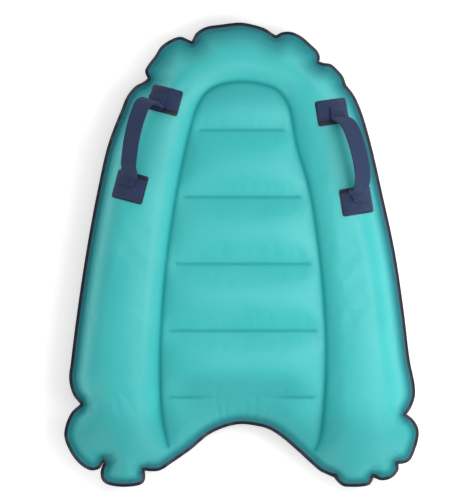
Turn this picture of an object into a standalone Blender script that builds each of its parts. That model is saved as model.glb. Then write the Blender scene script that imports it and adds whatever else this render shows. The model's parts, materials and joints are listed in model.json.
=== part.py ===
# Inflatable bodyboard of welded coated fabric, with its inner walls, handles and valve.
# Metres, +Z up, +Y towards the nose. The board lies on its slick side, on z = 0.

import math

import bmesh
import bpy
import numpy as np
from mathutils import Vector
from mathutils.bvhtree import BVHTree
from mathutils.geometry import delaunay_2d_cdt

# The whole board
BOARD_LENGTH = 0.740
BOARD_WIDTH = 0.565
BOARD_THICKNESS = 0.100
REST_CUT = 0.0005

# The coated fabric and its welds
SKIN_WALL = 0.0005
CONTACT_GAP = 0.0003
RIM_REVEAL = 0.0035
FLANGE_WIDTH = 0.0085

# The inner walls, which hold the skins at this height over the middle plane
WEB_HALF_HEIGHT = 0.028
WEB_WALL = 0.0008
WEB_FOOT = 0.0080
WEB_END_SHARE = 0.25
WEB_END_LENGTH = 0.190
LAST_WEB_SHARE = 0.75
SLOPE_ROOM_SHARE = 1.5
CROSS_WEB_COUNT = 5
FIRST_CROSS_WEB_DROP = 0.077
LAST_CROSS_WEB_RISE = 0.078
CROSS_WEB_END_GAP = 0.018

# How the air swells the skins
ARC_CENTRE_DEPTH = 0.031
CROWN_SOFTNESS = 0.0030
OVERFILL_SHARE = 1.20
SEAT_FULLNESS_SHARE = 0.55
NOSE_FULLNESS_SHARE = 1.40
TAIL_FULLNESS_SHARE = 1.00

# The spacing of the faceted surface
MESH_SPACING = 0.0280
RIM_ROW = 0.0110
CURVE_STEP = 0.0030
CURVE_TOLERANCE = 0.0011
RIM_POINT_GAP = 0.0060
OFFSET_CLEAR_SHARE = 0.97
ROW_SPACING_SHARE = 0.80
ROW_ROOM_SHARE = 0.40
GRID_ROOM_SHARE = 0.60
GRID_START_SHARE = 1.70
SOLVE_TOLERANCE = 0.0000001

# The handles: wide sewn strap ends on welded patches, and a folded grip between them
PATCH_LENGTH = 0.044
PATCH_WIDTH = 0.050
PATCH_WALL = 0.0006
TAB_INSET_SHARE = 0.90
TAB_WALL = 0.0016
GRIP_WIDTH = 0.027
GRIP_THICKNESS = 0.0034
GRIP_EDGE_THICKNESS = 0.0022
GRIP_RISE = 0.0385
GRIP_LEAN = math.radians(44.0)
ROOT_REACH = 0.0218
ROOT_HEIGHT = 0.0155
ROOT_TWIST_SHARE = 0.5
TWIST_LENGTH_SHARE = 0.25
FOOT_NEAR_SHARE = 0.90
FOOT_FAR_SHARE = 0.70
FOOT_WIDTH_SHARE = 0.56

# The valve on the underside of the nose chamber
VALVE_PLACE_SHARE = (0.008, 0.632)
VALVE_LAND_RADIUS = 0.0255
VALVE_LAND_HEIGHT = 0.036
VALVE_SIDES = 40
VALVE_LAND_SIDES = 20
BASE_FLANGE_RADIUS = 0.0240
BASE_FLANGE_WALL = 0.0012
NECK_BORE_RADIUS = 0.0130
NECK_WALL = 0.0018
NECK_RISE = 0.0020
NECK_DEPTH = 0.0075
HOLE_CLEARANCE = 0.0006
RUNNING_CLEARANCE = 0.0002
SEAL_SECTION_RADIUS = 0.0006
SEAL_SECTION_SIDES = 8
INSERT_BORE_RADIUS = 0.0110
INSERT_LIP_RADIUS = 0.0170
INSERT_LIP_WALL = 0.0014
INSERT_DEPTH = 0.0085
SPIGOT_WALL = 0.0012
BEAD_REACH = 0.0009
BEAD_WALL = 0.0006
SPOKE_WIDTH = 0.0018
SPOKE_WALL = 0.0014
SPOKE_ROOT = 0.0008
HUB_RADIUS = 0.0032
STEM_RADIUS = 0.0012
STEM_HEAD_RADIUS = 0.0022
STEM_HEAD_WALL = 0.0012
MEMBRANE_RADIUS = 0.0122
MEMBRANE_WALL = 0.0008
TETHER_WALL = 0.0010
TETHER_RING_RADIUS = 0.0165
TETHER_POST_WALL = 0.0012
TETHER_LUG_WIDTH = 0.0070
CAP_RADIUS = 0.0170
CAP_WALL = 0.0015
CAP_BEVEL = 0.0004
CAP_PLUG_CLEARANCE = 0.00035
CAP_PLUG_DEPTH = 0.0040
CAP_PLUG_WALL = 0.0012
CAP_PLUG_TAPER = 0.0006
CAP_LUG_WIDTH = 0.0060
CAP_LUG_REACH = 0.0007
CAP_HINGE_RADIUS = 0.0205
HINGE_CLEARANCE = 0.0014
THUMB_TAB_REACH = 0.0055
THUMB_TAB_WIDTH = 0.0090
JOIN_DEPTH = 0.0006

# The rim as runs between its puckers, as shares of the half width and half length,
# clockwise from the pucker on the left of the nose
RIM_RUN_SHARES = {
    "nose": [(-0.281, 0.920), (-0.256, 0.955), (-0.200, 0.981), (-0.110, 0.992), (-0.008, 1.000),
             (0.070, 0.990), (0.132, 0.975), (0.172, 0.955), (0.194, 0.945)],
    "nose_right": [(0.194, 0.945), (0.228, 0.958), (0.279, 0.960), (0.335, 0.942), (0.392, 0.905),
                   (0.431, 0.875), (0.442, 0.851), (0.439, 0.832)],
    "shoulder_right": [(0.439, 0.832), (0.465, 0.826), (0.504, 0.821), (0.549, 0.791),
                       (0.575, 0.765), (0.589, 0.733)],
    "side_right": [(0.589, 0.733), (0.634, 0.688), (0.673, 0.623), (0.730, 0.477), (0.792, 0.270),
                   (0.865, 0.012), (0.916, -0.247), (0.949, -0.453), (0.977, -0.561),
                   (0.977, -0.613), (0.955, -0.660), (0.932, -0.687)],
    "corner_right": [(0.932, -0.687), (0.966, -0.707), (0.994, -0.742), (1.000, -0.772),
                     (0.986, -0.824), (0.949, -0.886), (0.916, -0.899), (0.886, -0.902)],
    "tail_step_right": [(0.886, -0.902), (0.885, -0.927), (0.848, -0.961), (0.792, -0.972),
                        (0.746, -0.961)],
    "tail_flat_right": [(0.746, -0.961), (0.724, -0.989), (0.685, -0.998), (0.623, -1.000),
                        (0.572, -0.996), (0.538, -0.976), (0.521, -0.959)],
    "tail_cut": [(0.521, -0.959), (0.482, -0.946), (0.442, -0.931), (0.397, -0.902),
                 (0.310, -0.841), (0.217, -0.781), (0.149, -0.750), (0.070, -0.735),
                 (-0.008, -0.730), (-0.087, -0.742), (-0.181, -0.774), (-0.288, -0.841),
                 (-0.389, -0.895), (-0.459, -0.929), (-0.504, -0.933), (-0.544, -0.931)],
    "tail_tab_left": [(-0.544, -0.931), (-0.544, -0.967), (-0.561, -0.987), (-0.662, -1.000),
                      (-0.763, -0.987), (-0.789, -0.967), (-0.795, -0.934), (-0.780, -0.895)],
    "corner_left": [(-0.780, -0.895), (-0.799, -0.920), (-0.848, -0.929), (-0.914, -0.901),
                    (-0.972, -0.841), (-1.000, -0.772), (-0.964, -0.684), (-0.910, -0.643)],
    "side_left": [(-0.910, -0.643), (-0.949, -0.604), (-0.972, -0.539), (-0.961, -0.453),
                  (-0.927, -0.247), (-0.876, 0.012), (-0.814, 0.270), (-0.752, 0.477),
                  (-0.679, 0.623), (-0.645, 0.684), (-0.597, 0.727), (-0.557, 0.743),
                  (-0.530, 0.759)],
    "nose_left": [(-0.530, 0.759), (-0.544, 0.791), (-0.524, 0.821), (-0.487, 0.858),
                  (-0.454, 0.897), (-0.392, 0.929), (-0.344, 0.939), (-0.307, 0.929),
                  (-0.281, 0.920)],
}

# The deep weld round the seat, open at the tail, as the same shares
SEAT_LINE_SHARES = [(-0.414, -0.823), (-0.448, -0.712), (-0.459, -0.560), (-0.456, -0.367),
                    (-0.420, -0.014), (-0.358, 0.296), (-0.296, 0.516), (-0.239, 0.653),
                    (-0.183, 0.705), (-0.110, 0.731), (-0.003, 0.742), (0.116, 0.731),
                    (0.200, 0.705), (0.262, 0.641), (0.307, 0.473), (0.375, 0.296),
                    (0.431, 0.038), (0.470, -0.303), (0.473, -0.496), (0.465, -0.634),
                    (0.442, -0.789), (0.414, -0.841)]

# A patch's rim points, anticlockwise from the middle of its right side, as shares of its
# half width and half length
PATCH_RIM_SHARES = [(1, 0), (1, 1), (0, 1), (-1, 1), (-1, 0), (-1, -1), (0, -1), (1, -1)]

# Each handle's patch centres as the same shares, how its patches are turned, which way it
# leans, and its course as shares of the way from root to root and of the rise
HANDLES = {
    "left": {"front_share": (-0.430, 0.655), "rear_share": (-0.622, 0.290),
             "turn": math.radians(-15.0), "outward": -1.0,
             "course_shares": [(0.0, 0.0), (0.06, 0.30), (0.13, 0.60), (0.22, 0.86), (0.36, 1.0),
                               (0.55, 0.95), (0.75, 0.72), (0.89, 0.40), (1.0, 0.0)]},
    "right": {"front_share": (0.504, 0.618), "rear_share": (0.641, 0.230),
              "turn": math.radians(9.0), "outward": 1.0,
              "course_shares": [(0.0, 0.0), (0.11, 0.40), (0.25, 0.72), (0.45, 0.95), (0.64, 1.0),
                                (0.78, 0.86), (0.87, 0.60), (0.94, 0.30), (1.0, 0.0)]},
}
GRIP_RING_COUNT = 16
STRAP_SIDES = 6
COURSE_STEP_SHARE = 0.02
SHARP_ANGLE = math.radians(40.0)

# Colours as seen in daylight, with roughness
FINISHES = {
    "deck_fabric": ((95, 200, 200), 0.42),
    "slick_fabric": ((32, 44, 66), 0.38),
    "web_fabric": ((150, 205, 205), 0.55),
    "webbing": ((38, 52, 90), 0.80),
    "valve_plastic": ((40, 48, 62), 0.45),
    "seal_rubber": ((22, 22, 24), 0.60),
    "membrane_rubber": ((200, 205, 205), 0.50),
}

RIM_LIFT = CONTACT_GAP / 2 + SKIN_WALL
MIDDLE_Z = BOARD_THICKNESS / 2 - REST_CUT
CROWN_HEIGHT = BOARD_THICKNESS / 2 - RIM_LIFT


# Curves and distances in the plane of the board

def share_point(share):
    return Vector((share[0] * BOARD_WIDTH / 2, share[1] * BOARD_LENGTH / 2))


def blend_of_four(group, knots, at):
    """A point of the centripetal curve between the middle two of four points."""
    first = [group[i].lerp(group[i + 1], (at - knots[i]) / (knots[i + 1] - knots[i]))
             for i in range(3)]
    second = [first[i].lerp(first[i + 1], (at - knots[i]) / (knots[i + 2] - knots[i]))
              for i in range(2)]
    return second[0].lerp(second[1], (at - knots[1]) / (knots[2] - knots[1]))


def curve_through(points, step):
    """Points about a step apart on a smooth curve through the given ones."""
    ends = [points[0] * 2 - points[1]] + list(points) + [points[-1] * 2 - points[-2]]
    found = []
    for group in zip(ends, ends[1:], ends[2:], ends[3:]):
        knots = [0.0]
        for first, second in zip(group, group[1:]):
            knots.append(knots[-1] + (second - first).length ** 0.5)
        count = max(1, round((group[2] - group[1]).length / step))
        for index in range(count):
            at = knots[1] + (knots[2] - knots[1]) * index / count
            found.append(blend_of_four(group, knots, at))
    found.append(points[-1].copy())
    return found


def thinned(points, longest):
    """The few points of a fine curve that keep its shape."""
    kept = [0]
    while kept[-1] < len(points) - 1:
        start = kept[-1]
        end = start + 1
        while end + 1 < len(points):
            chord = points[end + 1] - points[start]
            side = Vector((-chord.y, chord.x)).normalized()
            bow = max(abs((p - points[start]).dot(side)) for p in points[start + 1:end + 1])
            if chord.length > longest or bow > CURVE_TOLERANCE:
                break
            end += 1
        kept.append(end)
    return [points[index] for index in kept]


def smooth_step(share):
    share = min(max(share, 0.0), 1.0)
    return share * share * (3.0 - 2.0 * share)


def rim_loop():
    """The board's outline, anticlockwise, brought to the exact length and width."""
    loop = []
    for shares in RIM_RUN_SHARES.values():
        run = curve_through([share_point(share) for share in shares], CURVE_STEP)
        loop += thinned(run, MESH_SPACING)[:-1]
    loop = np.array(loop)[::-1]
    low, high = loop.min(axis=0), loop.max(axis=0)
    return (loop - (low + high) / 2) * np.array((BOARD_WIDTH, BOARD_LENGTH)) / (high - low)


def distance_to_path(points, path, closed=True):
    """How far each point lies from the nearest stretch of a path."""
    ends = np.roll(path, -1, axis=0) if closed else path[1:]
    nearest = np.full(len(points), np.inf)
    for start, end in zip(path, ends):
        run = end - start
        along = np.clip((points - start) @ run / (run @ run), 0.0, 1.0)
        reach = points - start - along[:, None] * run
        nearest = np.minimum(nearest, np.hypot(reach[:, 0], reach[:, 1]))
    return nearest


def inside(points, loop):
    """Which points lie inside a closed loop."""
    crossings = np.zeros(len(points), dtype=int)
    for start, end in zip(loop, np.roll(loop, -1, axis=0)):
        if start[1] == end[1]:
            continue
        level = (start[1] > points[:, 1]) != (end[1] > points[:, 1])
        reach = start[0] + (points[:, 1] - start[1]) * (end[0] - start[0]) / (end[1] - start[1])
        crossings += level & (points[:, 0] < reach)
    return crossings % 2 == 1


def inward_loop(loop, distance, spacing):
    """The loop moved inwards, without the stretches that would fold over."""
    after = np.roll(loop, -1, axis=0) - loop
    after /= np.hypot(after[:, 0], after[:, 1])[:, None]
    before = np.roll(after, 1, axis=0)
    moved = []
    for share in (0.0, 0.5, 1.0):
        run = before * (1.0 - share) + after * share
        side = np.stack((-run[:, 1], run[:, 0]), axis=1)
        moved.append(loop + side / np.hypot(side[:, 0], side[:, 1])[:, None] * distance)
    points = np.stack(moved, axis=1).reshape(-1, 2)
    clear = distance_to_path(points, loop) > distance * OFFSET_CLEAR_SHARE
    points = points[clear & inside(points, loop)]
    kept = [points[0]]
    for point in points[1:]:
        if np.hypot(*(point - kept[-1])) > spacing and np.hypot(*(point - kept[0])) > spacing:
            kept.append(point)
    return np.array(kept)


# The inflated skins

class Layout:
    """Points and edges that a skin's facets must follow, gathered one path at a time."""

    def __init__(self):
        self.points = []
        self.edges = []

    def add_path(self, path, closed):
        start = len(self.points)
        self.points += [tuple(point) for point in path]
        count = len(path)
        for index in range(count if closed else count - 1):
            self.edges.append((start + index, start + (index + 1) % count))
        return list(range(start, start + count))

    def add_star(self, star):
        """A rim of points joined to the first one, their centre."""
        indices = self.add_path(star[1:], True)
        self.points.append(tuple(star[0]))
        centre = len(self.points) - 1
        self.edges += [(index, centre) for index in indices]
        return [centre] + indices


def triangulated(layout, outline, hole):
    """Facets through the layout's points and edges, inside the outline and outside the hole."""
    found = delaunay_2d_cdt([Vector(point) for point in layout.points], layout.edges, [],
                            0, SOLVE_TOLERANCE)
    points = np.array([tuple(point) for point in found[0]])
    faces = np.array(found[2])
    centres = points[faces].mean(axis=1)
    keep = inside(centres, outline)
    if hole is not None:
        keep &= ~inside(centres, hole)
    places = {}
    for index, sources in enumerate(found[3]):
        for source in sources:
            places[source] = index
    return points, faces[keep], places


def membrane(points, faces, loads, pinned):
    """Levels of a film over the facets: as its held points set it, and as the air swells it."""
    count = len(points)
    stiffness = np.zeros((count, count))
    force = np.zeros(count)
    for (a, b, c), load in zip(faces, loads):
        for i, j, k in ((a, b, c), (b, c, a), (c, a, b)):
            first, second = points[i] - points[k], points[j] - points[k]
            cross = abs(first[0] * second[1] - first[1] * second[0])
            weight = (first @ second) / cross / 2
            stiffness[i, i] += weight
            stiffness[j, j] += weight
            stiffness[i, j] -= weight
            stiffness[j, i] -= weight
            force[k] += load * cross / 3
    held = np.array(sorted(pinned))
    free = np.setdiff1d(np.unique(faces), held)
    still, blown = np.zeros(count), np.zeros(count)
    still[held] = [pinned[index] for index in held]
    inner = stiffness[np.ix_(free, free)]
    still[free] = np.linalg.solve(inner, -stiffness[np.ix_(free, held)] @ still[held])
    blown[free] = np.linalg.solve(inner, force[free])
    return still, blown, free


def pinned_level(height):
    return (height + ARC_CENTRE_DEPTH) ** 2 - ARC_CENTRE_DEPTH ** 2


def fill_points(layout, inner, avoid):
    """Even points in the free space inside the flange, in rows beside it and a grid beyond."""
    rows = [inward_loop(inner, RIM_ROW, MESH_SPACING * ROW_SPACING_SHARE)]
    low, high = inner.min(axis=0), inner.max(axis=0)
    pitch = MESH_SPACING * math.sqrt(3) / 2
    grid = []
    for row in range(math.ceil((high[1] - low[1]) / pitch) + 1):
        shift = MESH_SPACING / 2 * (row % 2)
        for column in range(math.ceil((high[0] - low[0]) / MESH_SPACING) + 1):
            grid.append((low[0] + shift + column * MESH_SPACING, low[1] + row * pitch))
    grid = np.array(grid)
    grid = grid[inside(grid, inner)]
    rows.append(grid[distance_to_path(grid, inner) > RIM_ROW * GRID_START_SHARE])
    for points, room in zip(rows, (ROW_ROOM_SHARE, GRID_ROOM_SHARE)):
        for path, closed, filled in avoid:
            points = points[distance_to_path(points, path, closed) > MESH_SPACING * room]
            if filled:
                points = points[~inside(points, path)]
        placed = np.array(layout.points)
        for point in points:
            if np.hypot(*(placed - point).T).min() > MESH_SPACING * room:
                placed = np.vstack((placed, point))
                layout.points.append(tuple(point))


def seat_line():
    points = curve_through([share_point(share) for share in SEAT_LINE_SHARES], CURVE_STEP)
    return np.array(thinned(points, MESH_SPACING))


def cross_web_lines():
    """Both ends of each straight inner wall across the seat."""
    seat = seat_line()
    first = seat[:, 1].max() - FIRST_CROSS_WEB_DROP
    last = seat[[0, -1], 1].max() + LAST_CROSS_WEB_RISE
    lines = []
    for index in range(CROSS_WEB_COUNT):
        level = first + (last - first) * index / (CROSS_WEB_COUNT - 1)
        crossed = []
        for start, end in zip(seat, seat[1:]):
            if (start[1] > level) != (end[1] > level):
                crossed.append(start[0] + (level - start[1]) / (end[1] - start[1])
                               * (end[0] - start[0]))
        left, right = min(crossed) + CROSS_WEB_END_GAP, max(crossed) - CROSS_WEB_END_GAP
        count = math.ceil((right - left) / MESH_SPACING)
        lines.append(np.array([(left + (right - left) * i / count, level)
                               for i in range(count + 1)]))
    return lines


def perimeter_heights(seat):
    """The wall's half height along the seat line, which sinks towards its two tail ends."""
    reach = np.concatenate(([0.0], np.cumsum(np.hypot(*np.diff(seat, axis=0).T))))
    from_end = np.minimum(reach, reach[-1] - reach) / WEB_END_LENGTH
    shares = [WEB_END_SHARE + (1.0 - WEB_END_SHARE) * smooth_step(share) for share in from_end]
    return WEB_HALF_HEIGHT * np.array(shares)


def cross_web_height(number):
    """The last cross wall, close to the tail, is a little lower than the others."""
    return WEB_HALF_HEIGHT * (LAST_WEB_SHARE if number == CROSS_WEB_COUNT else 1.0)


def circle_points(centre, radius, sides):
    turns = [2 * math.pi * index / sides for index in range(sides)]
    return np.array([(centre[0] + radius * math.cos(turn), centre[1] + radius * math.sin(turn))
                     for turn in turns])


def inflated_skin(reveal, stars=(), valve=None):
    """The skin's outer surface over the middle plane: its points in space and its facets."""
    rim = rim_loop()
    outline = inward_loop(rim, reveal, RIM_POINT_GAP) if reveal else rim
    inner = inward_loop(rim, RIM_REVEAL + FLANGE_WIDTH, RIM_POINT_GAP)
    seat = seat_line()
    webs = cross_web_lines()
    layout = Layout()
    flat = layout.add_path(outline, True) + layout.add_path(inner, True)
    held = dict(zip(layout.add_path(seat, False), perimeter_heights(seat)))
    for number, line in enumerate(webs, start=1):
        held.update(dict.fromkeys(layout.add_path(line, False), cross_web_height(number)))
    star_indices = [layout.add_star(star) for star in stars]
    avoid = [(seat, False, False)] + [(line, False, False) for line in webs]
    avoid += [(star[1:], True, True) for star in stars]
    land, hole = [], None
    if valve is not None:
        hole_radius = NECK_BORE_RADIUS + NECK_WALL + HOLE_CLEARANCE
        hole = circle_points(valve, hole_radius, VALVE_LAND_SIDES)
        edge = circle_points(valve, VALVE_LAND_RADIUS, VALVE_LAND_SIDES)
        land = layout.add_path(hole, True) + layout.add_path(edge, True)
        avoid.append((edge, True, True))
    fill_points(layout, inner, avoid)
    points, faces, places = triangulated(layout, outline, hole)
    pinned = {places[index]: 0.0 for index in flat}
    pinned.update({places[index]: pinned_level(height) for index, height in held.items()})
    pinned.update({places[index]: pinned_level(VALVE_LAND_HEIGHT) for index in land})
    centres = points[faces].mean(axis=1)
    along = centres[:, 1] / BOARD_LENGTH + 0.5
    loads = TAIL_FULLNESS_SHARE + (NOSE_FULLNESS_SHARE - TAIL_FULLNESS_SHARE) * along
    loads[inside(centres, seat)] = SEAT_FULLNESS_SHARE
    heights = swollen(*membrane(points, faces, loads, pinned))
    space = np.column_stack((points, RIM_LIFT + heights))
    return space, faces, [[places[index] for index in star] for star in star_indices]


def swollen(still, blown, free):
    """Heights of the film when the air would lift the widest tube past the crown.

    The fabric stops it there, so the crowns round off at the board's thickness.
    """
    overfill = pinned_level(CROWN_HEIGHT * OVERFILL_SHARE)
    pressure = ((overfill - still[free]) / blown[free]).min()
    levels = still + pressure * blown
    heights = np.sqrt(ARC_CENTRE_DEPTH ** 2 + np.maximum(levels, 0.0)) - ARC_CENTRE_DEPTH
    top = math.exp(-CROWN_HEIGHT / CROWN_SOFTNESS) - math.exp(-heights.max() / CROWN_SOFTNESS)
    eased = -CROWN_SOFTNESS * np.log(np.exp(-heights / CROWN_SOFTNESS) + top)
    return np.maximum(eased, 0.0)


# Objects

def linear(channel):
    share = channel / 255
    return share / 12.92 if share <= 0.04045 else ((share + 0.055) / 1.055) ** 2.4


def finish(name):
    material = bpy.data.materials.get(name)
    if material is None:
        colour, roughness = FINISHES[name]
        material = bpy.data.materials.new(name)
        material.use_nodes = True
        shader = material.node_tree.nodes["Principled BSDF"]
        shader.inputs["Base Color"].default_value = (*[linear(part) for part in colour], 1.0)
        shader.inputs["Roughness"].default_value = roughness
    return material


def new_object(name, points, faces, finish_name, origin=(0.0, 0.0, 0.0), parent=None):
    """An object whose mesh is given in world places and whose origin is set apart."""
    mesh = bpy.data.meshes.new(name)
    origin = Vector(origin)
    mesh.from_pydata([Vector(point) - origin for point in points], [], [list(f) for f in faces])
    work = bmesh.new()
    work.from_mesh(mesh)
    bmesh.ops.recalc_face_normals(work, faces=work.faces)
    work.to_mesh(mesh)
    work.free()
    mesh.materials.append(finish(finish_name))
    mesh.shade_smooth()
    mesh.set_sharp_from_angle(angle=SHARP_ANGLE)
    item = bpy.data.objects.new(name, mesh)
    item.location = origin
    bpy.context.collection.objects.link(item)
    if parent is not None:
        item.parent = parent
        item.location = origin - parent.location
    return item


def new_sheet(name, points, faces, wall, outward, finish_name):
    """A thin sheet: its facets face outward, and its wall lies on the side asked for."""
    mesh = bpy.data.meshes.new(name)
    mesh.from_pydata([Vector(point) for point in points], [], [list(f) for f in faces])
    mesh.materials.append(finish(finish_name))
    mesh.shade_smooth()
    item = bpy.data.objects.new(name, mesh)
    bpy.context.collection.objects.link(item)
    solid = item.modifiers.new("wall", "SOLIDIFY")
    solid.thickness = wall
    solid.offset = 1.0 if outward else -1.0
    return item


def new_empty(name, location):
    item = bpy.data.objects.new(name, None)
    item.empty_display_size = PATCH_LENGTH
    item.location = location
    bpy.context.collection.objects.link(item)
    return item


def joined(item, extras):
    """The item with other closed shapes united to it, which leave no objects behind."""
    for extra in extras:
        union = item.modifiers.new("union_" + extra.name, "BOOLEAN")
        union.operation = "UNION"
        union.object = extra
        extra.hide_render = True
        extra.display_type = "WIRE"
    return item


def facing(points, faces, upward):
    """The facets turned so that they all look up, or all down."""
    turned = []
    for a, b, c in faces:
        first, second = points[b] - points[a], points[c] - points[a]
        looks_up = first[0] * second[1] - first[1] * second[0] > 0
        turned.append((a, b, c) if looks_up == upward else (a, c, b))
    return turned


def used_only(points, faces):
    """The points that the facets use, and the facets numbered to match."""
    used = sorted({index for face in faces for index in face})
    number = {index: place for place, index in enumerate(used)}
    return points[used], [tuple(number[index] for index in face) for face in faces]


# The skins and the inner walls

def make_skins(stars, valve):
    """Deck and slick; gives the deck's surface, its stars and the valve's level."""
    deck, deck_faces, star_indices = inflated_skin(RIM_REVEAL, stars=stars)
    deck[:, 2] += MIDDLE_Z
    deck_faces = facing(deck, deck_faces, True)
    new_sheet("deck_skin", *used_only(deck, deck_faces), SKIN_WALL, False, "deck_fabric")
    slick, slick_faces, _ = inflated_skin(0.0, valve=valve)
    slick[:, 2] = np.maximum(MIDDLE_Z - slick[:, 2], 0.0)
    slick_faces = facing(slick, slick_faces, False)
    new_sheet("slick_skin", *used_only(slick, slick_faces), SKIN_WALL, False, "slick_fabric")
    near_valve = np.hypot(slick[:, 0] - valve.x, slick[:, 1] - valve.y) < BASE_FLANGE_RADIUS
    return deck, deck_faces, star_indices, slick[near_valve, 2].mean()


def wall_profile(height, foot):
    """A wall's section: sideways from the weld line, and up from the middle plane."""
    top = height + RIM_LIFT - SLOPE_ROOM_SHARE * SKIN_WALL - CONTACT_GAP
    under = top - WEB_WALL
    return [(0.0, -top), (0.0, top), (foot, top), (foot, under), (WEB_WALL, under),
            (WEB_WALL, -under), (foot, -under), (foot, -top)]


def make_wall(name, path, heights, feet):
    """An inner wall along a path, with a foot welded to each skin on its left side."""
    runs = np.diff(path, axis=0)
    runs /= np.hypot(runs[:, 0], runs[:, 1])[:, None]
    before, after = np.vstack((runs[:1], runs)), np.vstack((runs, runs[-1:]))
    mitre = before + after
    mitre /= (mitre * before).sum(axis=1)[:, None]
    points = []
    for place, run, height, foot in zip(path, mitre, heights, feet):
        for side, level in wall_profile(height, foot):
            points.append((place[0] - run[1] * side, place[1] + run[0] * side,
                           MIDDLE_Z + level))
    width = len(points) // len(path)
    faces = [tuple(range(width)), tuple(range(len(points) - width, len(points)))[::-1]]
    for ring in range(len(path) - 1):
        for index in range(width):
            beside = (index + 1) % width
            faces.append((ring * width + index, (ring + 1) * width + index,
                          (ring + 1) * width + beside, ring * width + beside))
    return new_object(name, points, faces, "web_fabric")


def make_walls():
    seat = seat_line()[::-1]
    heights = perimeter_heights(seat)
    lowest = WEB_HALF_HEIGHT * WEB_END_SHARE
    spread = (heights - lowest) / (WEB_HALF_HEIGHT - lowest)
    feet = 2 * WEB_WALL + (WEB_FOOT - 2 * WEB_WALL) * spread
    make_wall("perimeter_web", seat, heights, feet)
    for number, line in enumerate(cross_web_lines(), start=1):
        height = cross_web_height(number)
        make_wall(f"cross_web_{number}", line[[0, -1]], [height] * 2, [WEB_FOOT] * 2)


# The handles

def patch_star(centre, turn):
    """A patch's centre, then its corners and the middles of its sides, anticlockwise."""
    along = Vector((-math.sin(turn), math.cos(turn))) * PATCH_LENGTH / 2
    across = Vector((math.cos(turn), math.sin(turn))) * PATCH_WIDTH / 2
    return [centre] + [centre + across * x + along * y for x, y in PATCH_RIM_SHARES]


def handle_stars():
    stars = []
    for handle in HANDLES.values():
        for place in ("front_share", "rear_share"):
            stars.append(patch_star(share_point(handle[place]), handle["turn"]))
    return stars


class Surface:
    """The deck's outer surface, to set things down on."""

    def __init__(self, points, faces):
        self.points = [Vector(point) for point in points]
        self.tree = BVHTree.FromPolygons(self.points, faces)
        self.normals = [Vector() for _ in self.points]
        for a, b, c in faces:
            normal = (self.points[b] - self.points[a]).cross(self.points[c] - self.points[a])
            for index in (a, b, c):
                self.normals[index] += normal
        for normal in self.normals:
            normal.normalize()

    def at(self, place, lift):
        """The point over a place in the plane, lifted off the surface."""
        start = Vector((place.x, place.y, BOARD_THICKNESS * 2))
        point, normal, _, _ = self.tree.ray_cast(start, Vector((0.0, 0.0, -1.0)))
        return point + normal * lift

    def lifted(self, indices, lift):
        return [self.points[index] + self.normals[index] * lift for index in indices]


def rim_pairs():
    """The numbers of each rim point and the next one round; the centre is number 0."""
    count = len(PATCH_RIM_SHARES)
    return [(index, index % count + 1) for index in range(1, count + 1)]


class HandleFrame:
    """The line that a grip swings about, and the directions round it."""

    def __init__(self, handle, surface):
        front, rear = share_point(handle["front_share"]), share_point(handle["rear_share"])
        self.run = (rear - front).normalized()
        roots = [front + self.run * ROOT_REACH, rear - self.run * ROOT_REACH]
        ends = [surface.at(root, 0.0) for root in roots]
        self.start, self.end = [end + Vector((0.0, 0.0, ROOT_HEIGHT)) for end in ends]
        self.axis = (self.end - self.start).normalized()
        upright = Vector((0.0, 0.0, 1.0))
        self.up = (upright - self.axis * upright.dot(self.axis)).normalized()
        self.out = self.up.cross(self.axis)
        if self.out.x * handle["outward"] < 0:
            self.out = -self.out
        self.rise = self.up * math.cos(GRIP_LEAN) + self.out * math.sin(GRIP_LEAN)
        self.course = [Vector(share) for share in handle["course_shares"]]

    def across(self, twist):
        return self.out * math.cos(twist) - self.up * math.sin(twist)

    def path(self):
        """The grip's middle line, root to root, in even steps."""
        fine = curve_through(self.course, COURSE_STEP_SHARE)
        places = [self.start.lerp(self.end, p.x) + self.rise * max(p.y, 0.0) * GRIP_RISE
                  for p in fine]
        reach = [0.0]
        for first, second in zip(places, places[1:]):
            reach.append(reach[-1] + (second - first).length)
        even = []
        for ring in range(GRIP_RING_COUNT + 1):
            target = reach[-1] * ring / GRIP_RING_COUNT
            index = max(i for i in range(len(reach) - 1) if reach[i] <= target)
            share = (target - reach[index]) / (reach[index + 1] - reach[index])
            even.append(places[index].lerp(places[index + 1], share))
        return even


def strap_ring(place, run, across, under):
    """Six points round a strap: its two edges and its middle, under it and then over it."""
    side = (across - run * across.dot(run)).normalized()
    face = side.cross(run)
    if face.dot(under) < 0:
        face = -face
    columns = [(-GRIP_WIDTH, GRIP_EDGE_THICKNESS), (0.0, GRIP_THICKNESS),
               (GRIP_WIDTH, GRIP_EDGE_THICKNESS)]
    below = [place + side * across / 2 + face * wall / 2 for across, wall in columns]
    above = [place + side * across / 2 - face * wall / 2 for across, wall in columns]
    return below + above[::-1]


def cut_square(ring, run, place, axis):
    """A ring slid along the strap until it lies in the plane square to the axis."""
    return [point + run * ((place - point).dot(axis) / run.dot(axis)) for point in ring]


def strap_faces(first_point, ring_count):
    """The faces along a strap's rings, which are numbered from the first point on."""
    faces = []
    for ring in range(ring_count - 1):
        start = first_point + ring * STRAP_SIDES
        for index in range(STRAP_SIDES):
            beside = (index + 1) % STRAP_SIDES
            faces.append((start + index, start + beside,
                          start + STRAP_SIDES + beside, start + STRAP_SIDES + index))
    return faces


def strap_end(start):
    """The two faces that close a strap at the ring that starts with this point."""
    left_edge, middle, right_edge, right_top, middle_top, left_top = range(start, start + 6)
    return [(left_edge, middle, middle_top, left_top),
            (middle, right_edge, right_top, middle_top)]


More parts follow.
